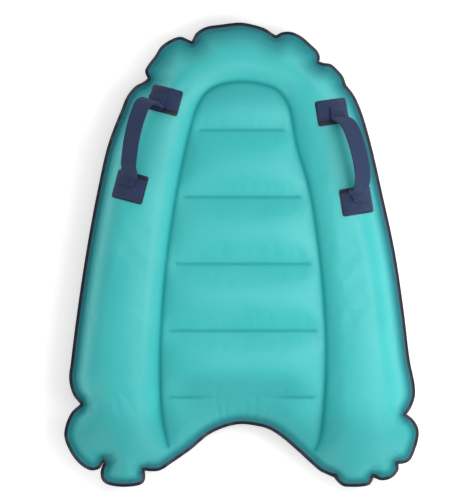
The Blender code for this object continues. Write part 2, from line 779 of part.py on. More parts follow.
def grip_rings(frame):
    path = frame.path()
    rings = []
    for index, place in enumerate(path):
        run = (path[min(index + 1, len(path) - 1)] - path[max(index - 1, 0)]).normalized()
        share = index / (len(path) - 1)
        turned = smooth_step(min(share, 1.0 - share) / TWIST_LENGTH_SHARE)
        twist = GRIP_LEAN * (ROOT_TWIST_SHARE + (1.0 - ROOT_TWIST_SHARE) * turned)
        rings.append(strap_ring(place, run, frame.across(twist), -frame.rise))
    ends = ((0, path[1] - path[0], CONTACT_GAP / 2), (-1, path[-1] - path[-2], -CONTACT_GAP / 2))
    for index, run, shift in ends:
        rings[index] = cut_square(rings[index], run.normalized(),
                                  path[index] + frame.axis * shift, frame.axis)
    return rings


def make_grip(name, frame):
    pivot = new_empty(f"{name}_pivot", (frame.start + frame.end) / 2)
    rings = grip_rings(frame)
    points = [point for ring in rings for point in ring]
    faces = strap_faces(0, len(rings)) + strap_end(0) + strap_end(len(points) - STRAP_SIDES)
    new_object(name, points, faces, "webbing", pivot.location, pivot)
    print(name, "swings about", [round(value, 5) for value in frame.axis],
          "through", [round(value, 5) for value in pivot.location])


def strap_foot(top, middle, inner, outer):
    """Where the strap leaves the sewn end: six points on its top face, edge to edge."""
    foot = []
    for row, columns in ((FOOT_NEAR_SHARE, (inner, middle, outer)),
                         (FOOT_FAR_SHARE, (outer, middle, inner))):
        for corner in columns:
            width = 0.0 if corner == middle else FOOT_WIDTH_SHARE
            foot.append(top[0] + (top[middle] - top[0]) * (row - width)
                        + (top[corner] - top[0]) * width)
    return foot


def make_tab(name, frame, star, normals, at_start, leans_left):
    """A strap's wide sewn end, with the short stretch that rises from it to the grip."""
    low = [star[0].lerp(point, TAB_INSET_SHARE) for point in star]
    high = [point + normal * TAB_WALL for point, normal in zip(low, normals)]
    middle, left, right = (7, 6, 8) if at_start else (3, 4, 2)
    inner, outer = (right, left) if leans_left else (left, right)
    path = frame.path()
    root, run = (path[0], path[1] - path[0]) if at_start else (path[-1], path[-2] - path[-1])
    inward = frame.axis if at_start else -frame.axis
    run = run.normalized()
    across = frame.across(GRIP_LEAN * ROOT_TWIST_SHARE)
    end = cut_square(strap_ring(root, run, across, inward), run,
                     root - inward * CONTACT_GAP / 2, frame.axis)
    points = low + high + strap_foot(high, middle, inner, outer) + end
    top, foot = len(low), len(low) + len(high)
    faces = [(0, first, second) for first, second in rim_pairs()]
    faces += [(first, second, second + top, first + top) for first, second in rim_pairs()]
    faces += [(top, first + top, second + top) for first, second in rim_pairs()
              if middle not in (first, second)]
    faces.append((top, inner + top, middle + top, foot + 1, foot, foot + 5, foot + 4))
    faces.append((top, foot + 4, foot + 3, foot + 2, foot + 1, middle + top, outer + top))
    faces += strap_faces(foot, 2) + strap_end(foot + STRAP_SIDES)
    new_object(name, points, faces, "webbing")


def make_handles(surface, star_indices):
    stars = iter(star_indices)
    fan = [(0, first, second) for first, second in rim_pairs()]
    for side, handle in HANDLES.items():
        frame = HandleFrame(handle, surface)
        for place, at_start in (("front", True), ("rear", False)):
            star = next(stars)
            patch = surface.lifted(star, CONTACT_GAP)
            new_sheet(f"{side}_{place}_patch", patch, fan, PATCH_WALL, True, "webbing")
            seat = surface.lifted(star, 2 * CONTACT_GAP + PATCH_WALL)
            normals = [surface.normals[index] for index in star]
            make_tab(f"{side}_{place}_tab", frame, seat, normals, at_start, side == "left")
        make_grip(f"{side}_grip", frame)


# The valve

def ring_of(radius, level, centre):
    if radius == 0.0:
        return [(centre.x, centre.y, centre.z - level)]
    circle = circle_points(centre, radius, VALVE_SIDES)
    return [(x, y, centre.z - level) for x, y in circle]


def turned(name, profile, centre, finish_name, origin=None, parent=None):
    """A body of revolution: a closed profile of radii and levels below the centre."""
    points, rings = [], []
    for radius, level in profile:
        ring = ring_of(radius, level, centre)
        rings.append(list(range(len(points), len(points) + len(ring))))
        points += ring
    faces = []
    for first, second in zip(rings, rings[1:] + rings[:1]):
        for index in range(VALVE_SIDES):
            after = (index + 1) % VALVE_SIDES
            corners = [first[index % len(first)], first[after % len(first)],
                       second[after % len(second)], second[index % len(second)]]
            face = tuple(dict.fromkeys(corners))
            if len(face) > 2:
                faces.append(face)
    return new_object(name, points, faces, finish_name, origin or centre, parent)


def block(name, centre, low, high, finish_name):
    """A box between two corners, given as radius along X, width along Y and level."""
    corners = [(x, y, z) for x in (low[0], high[0]) for y in (low[1], high[1])
               for z in (low[2], high[2])]
    points = [(centre.x + x, centre.y + y, centre.z - z) for x, y, z in corners]
    faces = [(0, 1, 3, 2), (4, 6, 7, 5), (0, 4, 5, 1), (2, 3, 7, 6), (0, 2, 6, 4), (1, 5, 7, 3)]
    return new_object(name, points, faces, finish_name, centre)


def valve_levels():
    """How far each stacked piece of the valve stands out from the skin."""
    levels = {"base": CONTACT_GAP}
    levels["seal"] = NECK_RISE + CONTACT_GAP
    levels["lip"] = levels["seal"] + 2 * SEAL_SECTION_RADIUS + CONTACT_GAP
    levels["tether"] = levels["lip"] + INSERT_LIP_WALL + CONTACT_GAP
    levels["bead"] = levels["tether"] + TETHER_WALL + CONTACT_GAP
    levels["cap"] = levels["bead"] + BEAD_WALL + CONTACT_GAP
    levels["hinge"] = levels["cap"] + CAP_WALL / 2
    levels["spokes"] = -INSERT_DEPTH
    return levels


def make_base(centre, levels):
    bore, neck = NECK_BORE_RADIUS, NECK_BORE_RADIUS + NECK_WALL
    low, high = levels["base"], levels["base"] + BASE_FLANGE_WALL
    profile = [(bore, -NECK_DEPTH), (bore, NECK_RISE), (neck, NECK_RISE), (neck, high),
               (BASE_FLANGE_RADIUS - BASE_FLANGE_WALL / 2, high),
               (BASE_FLANGE_RADIUS, low + BASE_FLANGE_WALL / 2),
               (BASE_FLANGE_RADIUS, low), (neck, low), (neck, -NECK_DEPTH)]
    turned("valve_base", profile, centre, "valve_plastic")


def make_seal(centre, levels):
    radius = NECK_BORE_RADIUS + NECK_WALL / 2
    middle = levels["seal"] + SEAL_SECTION_RADIUS
    profile = []
    for index in range(SEAL_SECTION_SIDES):
        turn = 2 * math.pi * index / SEAL_SECTION_SIDES
        profile.append((radius + SEAL_SECTION_RADIUS * math.cos(turn),
                        middle + SEAL_SECTION_RADIUS * math.sin(turn)))
    turned("valve_seal", profile, centre, "seal_rubber")


def make_insert(centre, levels, parent):
    bore = INSERT_BORE_RADIUS
    body = NECK_BORE_RADIUS - RUNNING_CLEARANCE
    spigot = bore + SPIGOT_WALL
    lip, seat = levels["lip"], levels["lip"] + INSERT_LIP_WALL
    bead = levels["bead"]
    profile = [(bore, -INSERT_DEPTH), (bore, bead + BEAD_WALL),
               (spigot + BEAD_REACH, bead + BEAD_WALL), (spigot + BEAD_REACH, bead),
               (spigot, bead), (spigot, seat), (INSERT_LIP_RADIUS, seat),
               (INSERT_LIP_RADIUS, lip), (body, lip), (body, -INSERT_DEPTH)]
    insert = turned("valve_insert", profile, centre, "valve_plastic", centre, parent)
    low, high = levels["spokes"], levels["spokes"] + SPOKE_WALL
    reach, half = bore + SPOKE_ROOT, SPOKE_WIDTH / 2
    spokes = [block("spoke_across", centre, (-reach, -half, low), (reach, half, high),
                    "valve_plastic"),
              block("spoke_along", centre, (-half, -reach, low), (half, reach, high),
                    "valve_plastic")]
    hub = turned("spoke_hub", [(0.0, low), (HUB_RADIUS, low), (HUB_RADIUS, high), (0.0, high)],
                 centre, "valve_plastic")
    joined(insert, spokes + [hub])
    hole_radius = STEM_RADIUS + CONTACT_GAP
    hole = turned("hub_hole", [(0.0, low - SPOKE_WALL), (hole_radius, low - SPOKE_WALL),
                               (hole_radius, high + SPOKE_WALL), (0.0, high + SPOKE_WALL)],
                  centre, "valve_plastic")
    cut = insert.modifiers.new("stem_hole", "BOOLEAN")
    cut.operation = "DIFFERENCE"
    cut.object = hole
    hole.hide_render = True
    hole.display_type = "WIRE"


def make_membrane(centre, levels, parent):
    top = levels["spokes"] - CONTACT_GAP
    head = levels["spokes"] + SPOKE_WALL + CONTACT_GAP
    profile = [(0.0, top - MEMBRANE_WALL), (MEMBRANE_RADIUS, top - MEMBRANE_WALL),
               (MEMBRANE_RADIUS, top), (STEM_RADIUS, top), (STEM_RADIUS, head),
               (STEM_HEAD_RADIUS, head), (STEM_RADIUS, head + STEM_HEAD_WALL),
               (0.0, head + STEM_HEAD_WALL)]
    turned("valve_membrane", profile, centre, "membrane_rubber", centre, parent)


def make_tether(centre, levels, parent):
    inner = INSERT_BORE_RADIUS + SPIGOT_WALL + CONTACT_GAP
    low, high = levels["tether"], levels["tether"] + TETHER_WALL
    profile = [(inner, low), (inner, high), (TETHER_RING_RADIUS, high),
               (TETHER_RING_RADIUS, low)]
    ring = turned("valve_tether", profile, centre, "valve_plastic", centre, parent)
    half = TETHER_LUG_WIDTH / 2
    post = CAP_HINGE_RADIUS + HINGE_CLEARANCE
    root = TETHER_RING_RADIUS - JOIN_DEPTH
    end = post + TETHER_POST_WALL
    lug = block("tether_lug", centre, (root, -half, low), (end, half, high), "valve_plastic")
    upright = block("tether_post", centre, (post, -half, low),
                    (end, half, levels["cap"] + CAP_WALL), "valve_plastic")
    joined(ring, [lug, upright])


def make_cap(centre, levels, pivot):
    low, high = levels["cap"], levels["cap"] + CAP_WALL
    plug = INSERT_BORE_RADIUS - CAP_PLUG_CLEARANCE
    foot = low - CAP_PLUG_DEPTH
    profile = [(0.0, high), (CAP_RADIUS - CAP_BEVEL, high), (CAP_RADIUS, high - CAP_BEVEL),
               (CAP_RADIUS, low), (plug, low), (plug - CAP_PLUG_TAPER, foot),
               (plug - CAP_PLUG_TAPER - CAP_PLUG_WALL, foot), (plug - CAP_PLUG_WALL * 2, low),
               (0.0, low)]
    cap = turned("valve_cap", profile, centre, "valve_plastic", pivot.location, pivot)
    half = CAP_LUG_WIDTH / 2
    lug = block("cap_lug", centre, (CAP_RADIUS - JOIN_DEPTH, -half, low),
                (CAP_HINGE_RADIUS + CAP_LUG_REACH, half, high), "valve_plastic")
    half = THUMB_TAB_WIDTH / 2
    tab = block("thumb_tab", centre, (-CAP_RADIUS - THUMB_TAB_REACH, -half, low),
                (JOIN_DEPTH - CAP_RADIUS, half, high), "valve_plastic")
    joined(cap, [lug, tab])


def make_valve(centre):
    levels = valve_levels()
    axis = new_empty("valve_turn_pivot", centre)
    hinge = new_empty("cap_hinge_pivot",
                      centre + Vector((CAP_HINGE_RADIUS, 0.0, -levels["hinge"])))
    make_base(centre, levels)
    make_seal(centre, levels)
    make_insert(centre, levels, axis)
    make_membrane(centre, levels, axis)
    make_tether(centre, levels, axis)
    make_cap(centre, levels, hinge)
    print("valve axis through", [round(value, 5) for value in centre],
          "cap hinge through", [round(value, 5) for value in hinge.location])


def main():
    for item in list(bpy.data.objects):
        bpy.data.objects.remove(item, do_unlink=True)
    valve = share_point(VALVE_PLACE_SHARE)
    deck, deck_faces, star_indices, land = make_skins(handle_stars(), valve)
    make_walls()
    make_handles(Surface(deck, deck_faces), star_indices)
    make_valve(Vector((valve.x, valve.y, land)))


main()
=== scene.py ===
# The looks of an inflatable bodyboard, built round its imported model.
# Metres, +Z up, +Y towards the nose. The board lies on its slick side, on z = 0.

import json
import math

import bmesh
import bpy
import numpy as np
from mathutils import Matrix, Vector
from mathutils.bvhtree import BVHTree
from mathutils.geometry import delaunay_2d_cdt


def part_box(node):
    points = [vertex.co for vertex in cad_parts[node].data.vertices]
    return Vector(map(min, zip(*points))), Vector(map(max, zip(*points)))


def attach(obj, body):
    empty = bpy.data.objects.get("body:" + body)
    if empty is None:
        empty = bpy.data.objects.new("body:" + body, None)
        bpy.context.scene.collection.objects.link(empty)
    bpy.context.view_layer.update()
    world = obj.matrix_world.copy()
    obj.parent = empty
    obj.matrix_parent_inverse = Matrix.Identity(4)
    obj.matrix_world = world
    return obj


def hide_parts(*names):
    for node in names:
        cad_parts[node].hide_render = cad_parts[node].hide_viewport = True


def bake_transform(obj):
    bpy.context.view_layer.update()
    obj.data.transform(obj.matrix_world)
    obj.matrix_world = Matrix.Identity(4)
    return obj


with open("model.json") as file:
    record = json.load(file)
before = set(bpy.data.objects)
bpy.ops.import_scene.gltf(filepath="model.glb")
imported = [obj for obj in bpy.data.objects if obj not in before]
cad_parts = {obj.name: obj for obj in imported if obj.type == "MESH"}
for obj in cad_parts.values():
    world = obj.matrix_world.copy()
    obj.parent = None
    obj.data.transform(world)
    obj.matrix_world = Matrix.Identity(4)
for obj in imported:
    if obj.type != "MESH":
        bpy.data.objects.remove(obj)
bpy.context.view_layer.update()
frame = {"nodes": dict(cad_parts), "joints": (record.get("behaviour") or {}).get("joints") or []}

# The board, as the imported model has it
SLICK_LOW, SLICK_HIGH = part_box("slick_skin")
DECK_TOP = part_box("deck_skin")[1].z
BOARD_WIDTH = SLICK_HIGH.x - SLICK_LOW.x
BOARD_LENGTH = SLICK_HIGH.y - SLICK_LOW.y
CONTACT_GAP = 0.0003
SKIN_WALL = 0.0005
MIDDLE_Z = SLICK_HIGH.z + CONTACT_GAP / 2
RIM_LIFT = CONTACT_GAP / 2 + SKIN_WALL
CROWN_HEIGHT = DECK_TOP - MIDDLE_Z - RIM_LIFT
RIM_REVEAL = 0.0050
FLANGE_WIDTH = 0.0070

# The valve's flat land on the slick side, and the hole for its neck
VALVE_LOW, VALVE_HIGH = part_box("valve_base")
VALVE_PLACE = np.array(((VALVE_LOW.x + VALVE_HIGH.x) / 2, (VALVE_LOW.y + VALVE_HIGH.y) / 2))
VALVE_LAND_RADIUS = 0.0255
VALVE_HOLE_RADIUS = 0.0154
VALVE_LAND_HEIGHT = 0.036
VALVE_RING_SIDES = 64
VALVE_LAND_ROWS = 4

# The inner walls' welds: their half heights, and how the deep one sinks towards its ends
CROSS_WEBS = sorted(node for node in frame["nodes"] if node.startswith("cross_web"))
WEB_HALF_HEIGHT = 0.028
WEB_END_SHARE = 0.25
WEB_END_LENGTH = 0.190
LAST_WEB_SHARE = 0.75

# How the air swells the skins: the arcs' centres lie below the middle plane, the crowns are blown
# over the board's thickness and rounded off at it, and each part is more or less full
ARC_CENTRE_DEPTH = 0.031
CROWN_SOFTNESS = 0.0030
OVERFILL_SHARE = 1.20
SEAT_FULLNESS_SHARE = 0.55
NOSE_FULLNESS_SHARE = 1.40
TAIL_FULLNESS_SHARE = 1.00

# The spacing of the fine surface: its even grid, its rows beside the rim and the welds, and the
# room that is kept between them
MESH_SPACING = 0.0048
RIM_STEP = 0.0024
RIM_ROWS = (0.0022, 0.0048, 0.0080, 0.0115, 0.0152, 0.0192)
WELD_STEP = 0.0030
WELD_ROWS = (0.0016, 0.0040)
ROOM_SHARE = 0.55
OFFSET_CLEAR_SHARE = 0.97
PIN_MARGIN = RIM_STEP / 4
SOLVE_TOLERANCE = 0.0000001

# The slight waves of the flange, as (length, height) of each, which fade out inwards
FLANGE_WAVES = ((0.0370, 0.00045), (0.0233, 0.00035), (0.0149, 0.00022))
WAVE_PHASE = 2.0
WAVE_FADE = 0.018

# The fan of creases at each pucker of the rim: their angles, length, half width and depth, and
# the share of the depth that is left on the flat flange
PUCKER_ANGLES = [math.radians(angle) for angle in (-62.0, -38.0, -12.0, 14.0, 41.0, 66.0)]
PUCKER_LENGTH = 0.026
PUCKER_HALF_WIDTH = 0.0021
PUCKER_DEPTH = 0.0016
PUCKER_INSET = 0.0050
PUCKER_SPAN = 8
PUCKER_EARLY_SHARE = 0.35
PUCKER_NEAR_SHARE = 1.3
FLANGE_PUCKER_SHARE = 0.5

# How a crease's length and depth vary: by how much, and the phase steps per pucker and crease
LENGTH_SWING_SHARE = 0.20
LENGTH_PHASES = (2.0, 3.0)
DEPTH_SWING_SHARE = 0.25
DEPTH_PHASES = (1.0, 2.0)

# The low ridges beside a crease, and how many half widths off its middle they stand
RIDGE_SHARE = 0.4
RIDGE_OFFSET = 2.0

# How far the deck's edge is drawn in at the pucker where each run of the rim starts
TUCK_REACH = 0.0050
TUCK_DEPTHS = {"nose": 0.0010, "nose_right": 0.0010, "shoulder_right": 0.0020,
               "side_right": 0.0020, "corner_right": 0.0040, "tail_step_right": 0.0045,
               "tail_flat_right": 0.0070, "tail_cut": 0.0060, "tail_tab_left": 0.0050,
               "corner_left": 0.0060, "side_left": 0.0030, "nose_left": 0.0030}

# The greyer strip beside the deck's edge, by the run of the rim
STRIP_SHARES = {"nose": 1.0, "nose_right": 0.35, "shoulder_right": 0.5, "side_right": 0.9,
                "corner_right": 0.5, "tail_step_right": 0.3, "tail_flat_right": 1.0,
                "tail_cut": 0.9, "tail_tab_left": 0.9, "corner_left": 0.25, "side_left": 0.7,
                "nose_left": 0.25}
STRIP_EASE_STEPS = 15
STRIP_END = 0.0080
STRIP_FADE = 0.0035

# Painted shade inside the strip, darker teal where the deck falls away to the rim, which fades
# further in at the nose
SHADE_FADE = 0.0180
NOSE_FADE = 0.0280
NOSE_SPAN_SHARES = (0.45, 1.0)

# Painted shade over the tail and at both ends of the seat: how dark it gets, and where it starts
# and is full, as shares of the half length, and of the half width at the seat's sides
TAIL_SHADE_SHARE = 0.35
TAIL_SPAN_SHARES = (-0.60, -0.78)
SEAT_SHADE_SHARE = 0.34
SEAT_SPAN_SHARES = (-0.47, -0.56)
SEAT_SIDE_SPAN_SHARES = (0.24, 0.42)
NOSE_SEAT_SHADE_SHARE = 0.38
NOSE_SEAT_SPAN_SHARES = (0.58, 0.71)

# Painted shade in the welds' grooves, and where the last weld's starts and is full across the seat
SEAT_GROOVE_REACH = 0.0038
WEB_GROOVE_REACH = 0.0028
WEB_GROOVE_SHARE = 0.75
LAST_GROOVE_SPAN_SHARES = (0.14, 0.28)

# Creases in the deck at the middle of the tail, as shares of where each starts and ends
TAIL_CREASE_SHARES = [((-0.150, -0.580), (-0.118, -0.735)), ((-0.098, -0.630), (-0.080, -0.735)),
                      ((0.015, -0.610), (0.028, -0.725)), ((0.090, -0.570), (0.068, -0.720)),
                      ((0.150, -0.640), (0.120, -0.735))]
TAIL_CREASE_HALF_WIDTH = 0.0026
TAIL_CREASE_DEPTH = 0.0009

# The cloth's settling under the air, with a little growth so that it is slack, and how far a
# point may move
CLOTH_FRAMES = 16
CLOTH_REACH = 0.0045
CLOTH_SETTINGS = {"quality": 5, "mass": 0.2, "tension_stiffness": 30.0,
                  "compression_stiffness": 30.0, "shear_stiffness": 12.0,
                  "bending_stiffness": 0.1, "use_pressure": True,
                  "uniform_pressure_force": 4.0, "shrink_min": -0.003}

# The rim as runs from pucker to pucker, as shares of the half width and half length, clockwise
# from the pucker on the left of the nose. Each run ends where the next one starts.
RIM_RUN_SHARES = {
    "nose": [(-0.281, 0.920), (-0.256, 0.955), (-0.200, 0.981), (-0.110, 0.992), (-0.008, 1.000),
             (0.070, 0.990), (0.132, 0.975), (0.172, 0.955)],
    "nose_right": [(0.194, 0.945), (0.228, 0.958), (0.279, 0.960), (0.335, 0.942), (0.392, 0.905),
                   (0.431, 0.875), (0.442, 0.851)],
    "shoulder_right": [(0.439, 0.832), (0.465, 0.826), (0.504, 0.821), (0.549, 0.791),
                       (0.575, 0.765)],
    "side_right": [(0.589, 0.733), (0.634, 0.688), (0.673, 0.623), (0.730, 0.477), (0.792, 0.270),
                   (0.865, 0.012), (0.916, -0.247), (0.949, -0.453), (0.977, -0.561),
                   (0.977, -0.613), (0.955, -0.660)],
    "corner_right": [(0.932, -0.687), (0.966, -0.707), (0.994, -0.742), (1.000, -0.772),
                     (0.986, -0.824), (0.949, -0.886), (0.916, -0.899)],
    "tail_step_right": [(0.886, -0.902), (0.885, -0.927), (0.848, -0.961), (0.792, -0.972)],
    "tail_flat_right": [(0.746, -0.961), (0.724, -0.989), (0.685, -0.998), (0.623, -1.000),
                        (0.572, -0.996), (0.538, -0.976)],
    "tail_cut": [(0.521, -0.959), (0.482, -0.946), (0.442, -0.931), (0.397, -0.902),
                 (0.310, -0.841), (0.217, -0.781), (0.149, -0.750), (0.070, -0.735),
                 (-0.008, -0.730), (-0.087, -0.742), (-0.181, -0.774), (-0.288, -0.841),
                 (-0.389, -0.895), (-0.459, -0.929), (-0.504, -0.933)],
    "tail_tab_left": [(-0.544, -0.931), (-0.544, -0.967), (-0.561, -0.987), (-0.662, -1.000),
                      (-0.763, -0.987), (-0.789, -0.967), (-0.795, -0.934)],
    "corner_left": [(-0.780, -0.895), (-0.799, -0.920), (-0.848, -0.929), (-0.914, -0.901),
                    (-0.972, -0.841), (-1.000, -0.772), (-0.964, -0.684)],
    "side_left": [(-0.910, -0.643), (-0.949, -0.604), (-0.972, -0.539), (-0.961, -0.453),
                  (-0.927, -0.247), (-0.876, 0.012), (-0.814, 0.270), (-0.752, 0.477),
                  (-0.679, 0.623), (-0.645, 0.684), (-0.597, 0.727), (-0.557, 0.743)],
    "nose_left": [(-0.530, 0.759), (-0.544, 0.791), (-0.524, 0.821), (-0.487, 0.858),
                  (-0.454, 0.897), (-0.392, 0.929), (-0.344, 0.939), (-0.307, 0.929)],
}

# The deep weld round the seat, open at the tail, as the same shares
SEAT_LINE_SHARES = [(-0.414, -0.823), (-0.448, -0.712), (-0.459, -0.560), (-0.456, -0.367),
                    (-0.420, -0.014), (-0.358, 0.296), (-0.296, 0.516), (-0.239, 0.653),
                    (-0.183, 0.705), (-0.110, 0.731), (-0.003, 0.742), (0.116, 0.731),
                    (0.200, 0.705), (0.262, 0.641), (0.307, 0.473), (0.375, 0.296),
                    (0.431, 0.038), (0.470, -0.303), (0.473, -0.496), (0.465, -0.634),
                    (0.442, -0.789), (0.414, -0.841)]


# Curves and distances in the plane of the board

def share_point(share):
    return Vector((share[0] * BOARD_WIDTH / 2, share[1] * BOARD_LENGTH / 2))


def smooth_step(share):
    share = np.clip(share, 0.0, 1.0)
    return share * share * (3.0 - 2.0 * share)


def risen(values, start, full):
    """Nothing up to the start and one from the full value on, whichever way that lies."""
    return smooth_step((values - start) / (full - start))


def blend_of_four(group, knots, at):
    """A point of the centripetal curve between the middle two of four points."""
    first = [group[i].lerp(group[i + 1], (at - knots[i]) / (knots[i + 1] - knots[i]))
             for i in range(3)]
    second = [first[i].lerp(first[i + 1], (at - knots[i]) / (knots[i + 2] - knots[i]))
              for i in range(2)]
    return second[0].lerp(second[1], (at - knots[1]) / (knots[2] - knots[1]))


def curve_through(points, step):
    """Points about a step apart on a smooth curve through the given ones."""
    ends = [points[0] * 2 - points[1]] + list(points) + [points[-1] * 2 - points[-2]]
    found = []
    for group in zip(ends, ends[1:], ends[2:], ends[3:]):
        knots = [0.0]
        for first, second in zip(group, group[1:]):
            knots.append(knots[-1] + (second - first).length ** 0.5)
        count = max(1, round((group[2] - group[1]).length / step))
        for index in range(count):
            at = knots[1] + (knots[2] - knots[1]) * index / count
            found.append(blend_of_four(group, knots, at))
    found.append(points[-1].copy())
    return found


def rim_loop():
    """The board's outline, anticlockwise, at the exact size, and its strip's share at each point."""
    loop, strips = [], []
    runs = list(RIM_RUN_SHARES.values())
    for name, shares, following in zip(RIM_RUN_SHARES, runs, runs[1:] + runs[:1]):
        ends = [share_point(share) for share in shares + following[:1]]
        run = curve_through(ends, RIM_STEP)[:-1]
        loop += run
        strips += [STRIP_SHARES[name]] * len(run)
    loop, strips = np.array(loop)[::-1], np.array(strips)[::-1]
    low, high = loop.min(axis=0), loop.max(axis=0)
    steps = range(-STRIP_EASE_STEPS, STRIP_EASE_STEPS + 1)
    eased = np.mean([np.roll(strips, step) for step in steps], axis=0)
    return (loop - (low + high) / 2) * np.array((BOARD_WIDTH, BOARD_LENGTH)) / (high - low), eased


def path_runs(path, closed):
    """Where each straight run of a path starts and ends, and how far along the path."""
    starts = path if closed else path[:-1]
    ends = np.roll(path, -1, axis=0) if closed else path[1:]
    return starts, ends, np.concatenate(([0.0], np.cumsum(np.hypot(*(ends - starts).T))))


def nearest_on(points, path, closed=True):
    """Each point's distance to a path, and how far along the path its nearest place is."""
    starts, ends, reach = path_runs(path, closed)
    nearest = np.full(len(points), np.inf)
    along = np.zeros(len(points))
    for index, (start, end) in enumerate(zip(starts, ends)):
        run = end - start
        share = np.clip((points - start) @ run / (run @ run), 0.0, 1.0)
        distance = np.hypot(*(points - start - share[:, None] * run).T)
        closer = distance < nearest
        nearest[closer] = distance[closer]
        along[closer] = reach[index] + share[closer] * (reach[index + 1] - reach[index])
    return nearest, along


def inside(points, loop):
    """Which points lie inside a closed loop."""
    crossings = np.zeros(len(points), dtype=int)
    for start, end in zip(loop, np.roll(loop, -1, axis=0)):
        if start[1] == end[1]:
            continue
        level = (start[1] > points[:, 1]) != (end[1] > points[:, 1])
        reach = start[0] + (points[:, 1] - start[1]) * (end[0] - start[0]) / (end[1] - start[1])
        crossings += level & (points[:, 0] < reach)
    return crossings % 2 == 1


def path_sides(path, closed):
    """The unit direction to the left of a path at each of its points."""
    if closed:
        run = np.roll(path, -1, axis=0) - np.roll(path, 1, axis=0)
    else:
        run = np.gradient(path, axis=0)
    side = np.stack((-run[:, 1], run[:, 0]), axis=1)
    return side / np.hypot(*side.T)[:, None]


def inward_loop(loop, distance, spacing):
    """The loop moved inwards, without the stretches that would fold over."""
    points = loop + path_sides(loop, True) * distance
    clear = nearest_on(points, loop)[0] > distance * OFFSET_CLEAR_SHARE
    points = points[clear & inside(points, loop)]
    kept = [points[0]]
    for point in points[1:]:
        if np.hypot(*(point - kept[-1])) > spacing and np.hypot(*(point - kept[0])) > spacing:
            kept.append(point)
    return np.array(kept)


RIM, RIM_STRIP = rim_loop()
SEAT_LINE = np.array(curve_through([share_point(s) for s in SEAT_LINE_SHARES], WELD_STEP))


def cross_web_lines():
    """Each straight weld across the seat, where its inner wall is."""
    lines = []
    for node in CROSS_WEBS:
        low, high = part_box(node)
        count = math.ceil((high.x - low.x) / WELD_STEP)
        lines.append(np.array([(low.x + (high.x - low.x) * i / count, low.y)
                               for i in range(count + 1)]))
    return lines


def perimeter_heights():
    """The inner wall's half height along the seat line, which sinks towards its tail ends."""
    reach = path_runs(SEAT_LINE, False)[2]
    from_end = np.minimum(reach, reach[-1] - reach) / WEB_END_LENGTH
    return WEB_HALF_HEIGHT * (WEB_END_SHARE + (1.0 - WEB_END_SHARE) * smooth_step(from_end))


def valve_circle(radius):
    turns = np.arange(VALVE_RING_SIDES) * 2 * math.pi / VALVE_RING_SIDES
    return VALVE_PLACE + radius * np.stack((np.cos(turns), np.sin(turns)), axis=1)


def from_valve(points):
    return np.hypot(*(points - VALVE_PLACE).T)


def hex_grid(loop, spacing):
    """Points in even triangles over the loop's box."""
    low, high = loop.min(axis=0), loop.max(axis=0)
    rows = np.arange(low[1], high[1], spacing * math.sqrt(3) / 2)
    grid = [(x + spacing / 2 * (number % 2), y) for number, y in enumerate(rows)
            for x in np.arange(low[0], high[0], spacing)]
    return np.array(grid)


# The swollen skins

def film_levels(points, faces, loads, held):
    """Levels of a film over the facets: as its held points set it, and as the air swells it."""
    count = len(points)
    diagonal, force = np.zeros(count), np.zeros(count)
    firsts, seconds, weights = [], [], []
    for i, j, k in ((0, 1, 2), (1, 2, 0), (2, 0, 1)):
        a, b, c = faces[:, i], faces[:, j], faces[:, k]
        first, second = points[a] - points[c], points[b] - points[c]
        cross = np.abs(first[:, 0] * second[:, 1] - first[:, 1] * second[:, 0])
        weight = (first * second).sum(axis=1) / cross / 2
        diagonal += np.bincount(a, weight, count) + np.bincount(b, weight, count)
        force += np.bincount(c, loads * cross / 3, count)
        firsts += [a, b]
        seconds += [b, a]
        weights += [weight, weight]
    firsts, seconds = np.concatenate(firsts), np.concatenate(seconds)
    weights = np.concatenate(weights)
    still, blown = np.zeros(count), np.zeros(count)
    still[list(held)] = list(held.values())
    free = diagonal > 0
    free[list(held)] = False
    divisor = np.where(free, diagonal, 1.0)

    def spread(levels):
        out = diagonal * levels - np.bincount(firsts, weights * levels[seconds], count)
        out[~free] = 0.0
        return out

    def balanced(wanted):
        """The free levels that balance what is wanted of them, by conjugate gradients."""
        found = np.zeros(count)
        left = np.where(free, wanted, 0.0)
        ready = left / divisor
        way = ready.copy()
        strength = left @ ready
        goal = strength * SOLVE_TOLERANCE ** 2
        while strength > goal:
            spread_way = spread(way)
            step = strength / (way @ spread_way)
            found += step * way
            left -= step * spread_way
            ready = left / divisor
            before, strength = strength, left @ ready
            way = ready + way * strength / before
        return found

    still += balanced(-spread(still))
    blown += balanced(force)
    return still, blown, free


def pinned_level(height):
    """The film's level where the skin is held at this height."""
    return (height + ARC_CENTRE_DEPTH) ** 2 - ARC_CENTRE_DEPTH ** 2


def swollen(still, blown, free):
    """Heights of the film, with its crowns rounded off at the board's thickness."""
    overfill = pinned_level(CROWN_HEIGHT * OVERFILL_SHARE)
    pressure = ((overfill - still[free]) / blown[free]).min()
    levels = still + pressure * blown
    heights = np.sqrt(ARC_CENTRE_DEPTH ** 2 + np.maximum(levels, 0.0)) - ARC_CENTRE_DEPTH
    top = math.exp(-CROWN_HEIGHT / CROWN_SOFTNESS) - math.exp(-heights.max() / CROWN_SOFTNESS)
    eased = -CROWN_SOFTNESS * np.log(np.exp(-heights / CROWN_SOFTNESS) + top)
    return np.maximum(eased, 0.0)


class Layout:
    """Points and edges that a skin's facets must follow, gathered one path at a time."""

    def __init__(self):
        self.points = []
        self.edges = []

    def add_path(self, path, closed):
        start, count = len(self.points), len(path)
        self.add_free(path)
        for index in range(count if closed else count - 1):
            self.edges.append((start + index, start + (index + 1) % count))
        return list(range(start, start + count))

    def add_free(self, points):
        self.points += [tuple(point) for point in points]


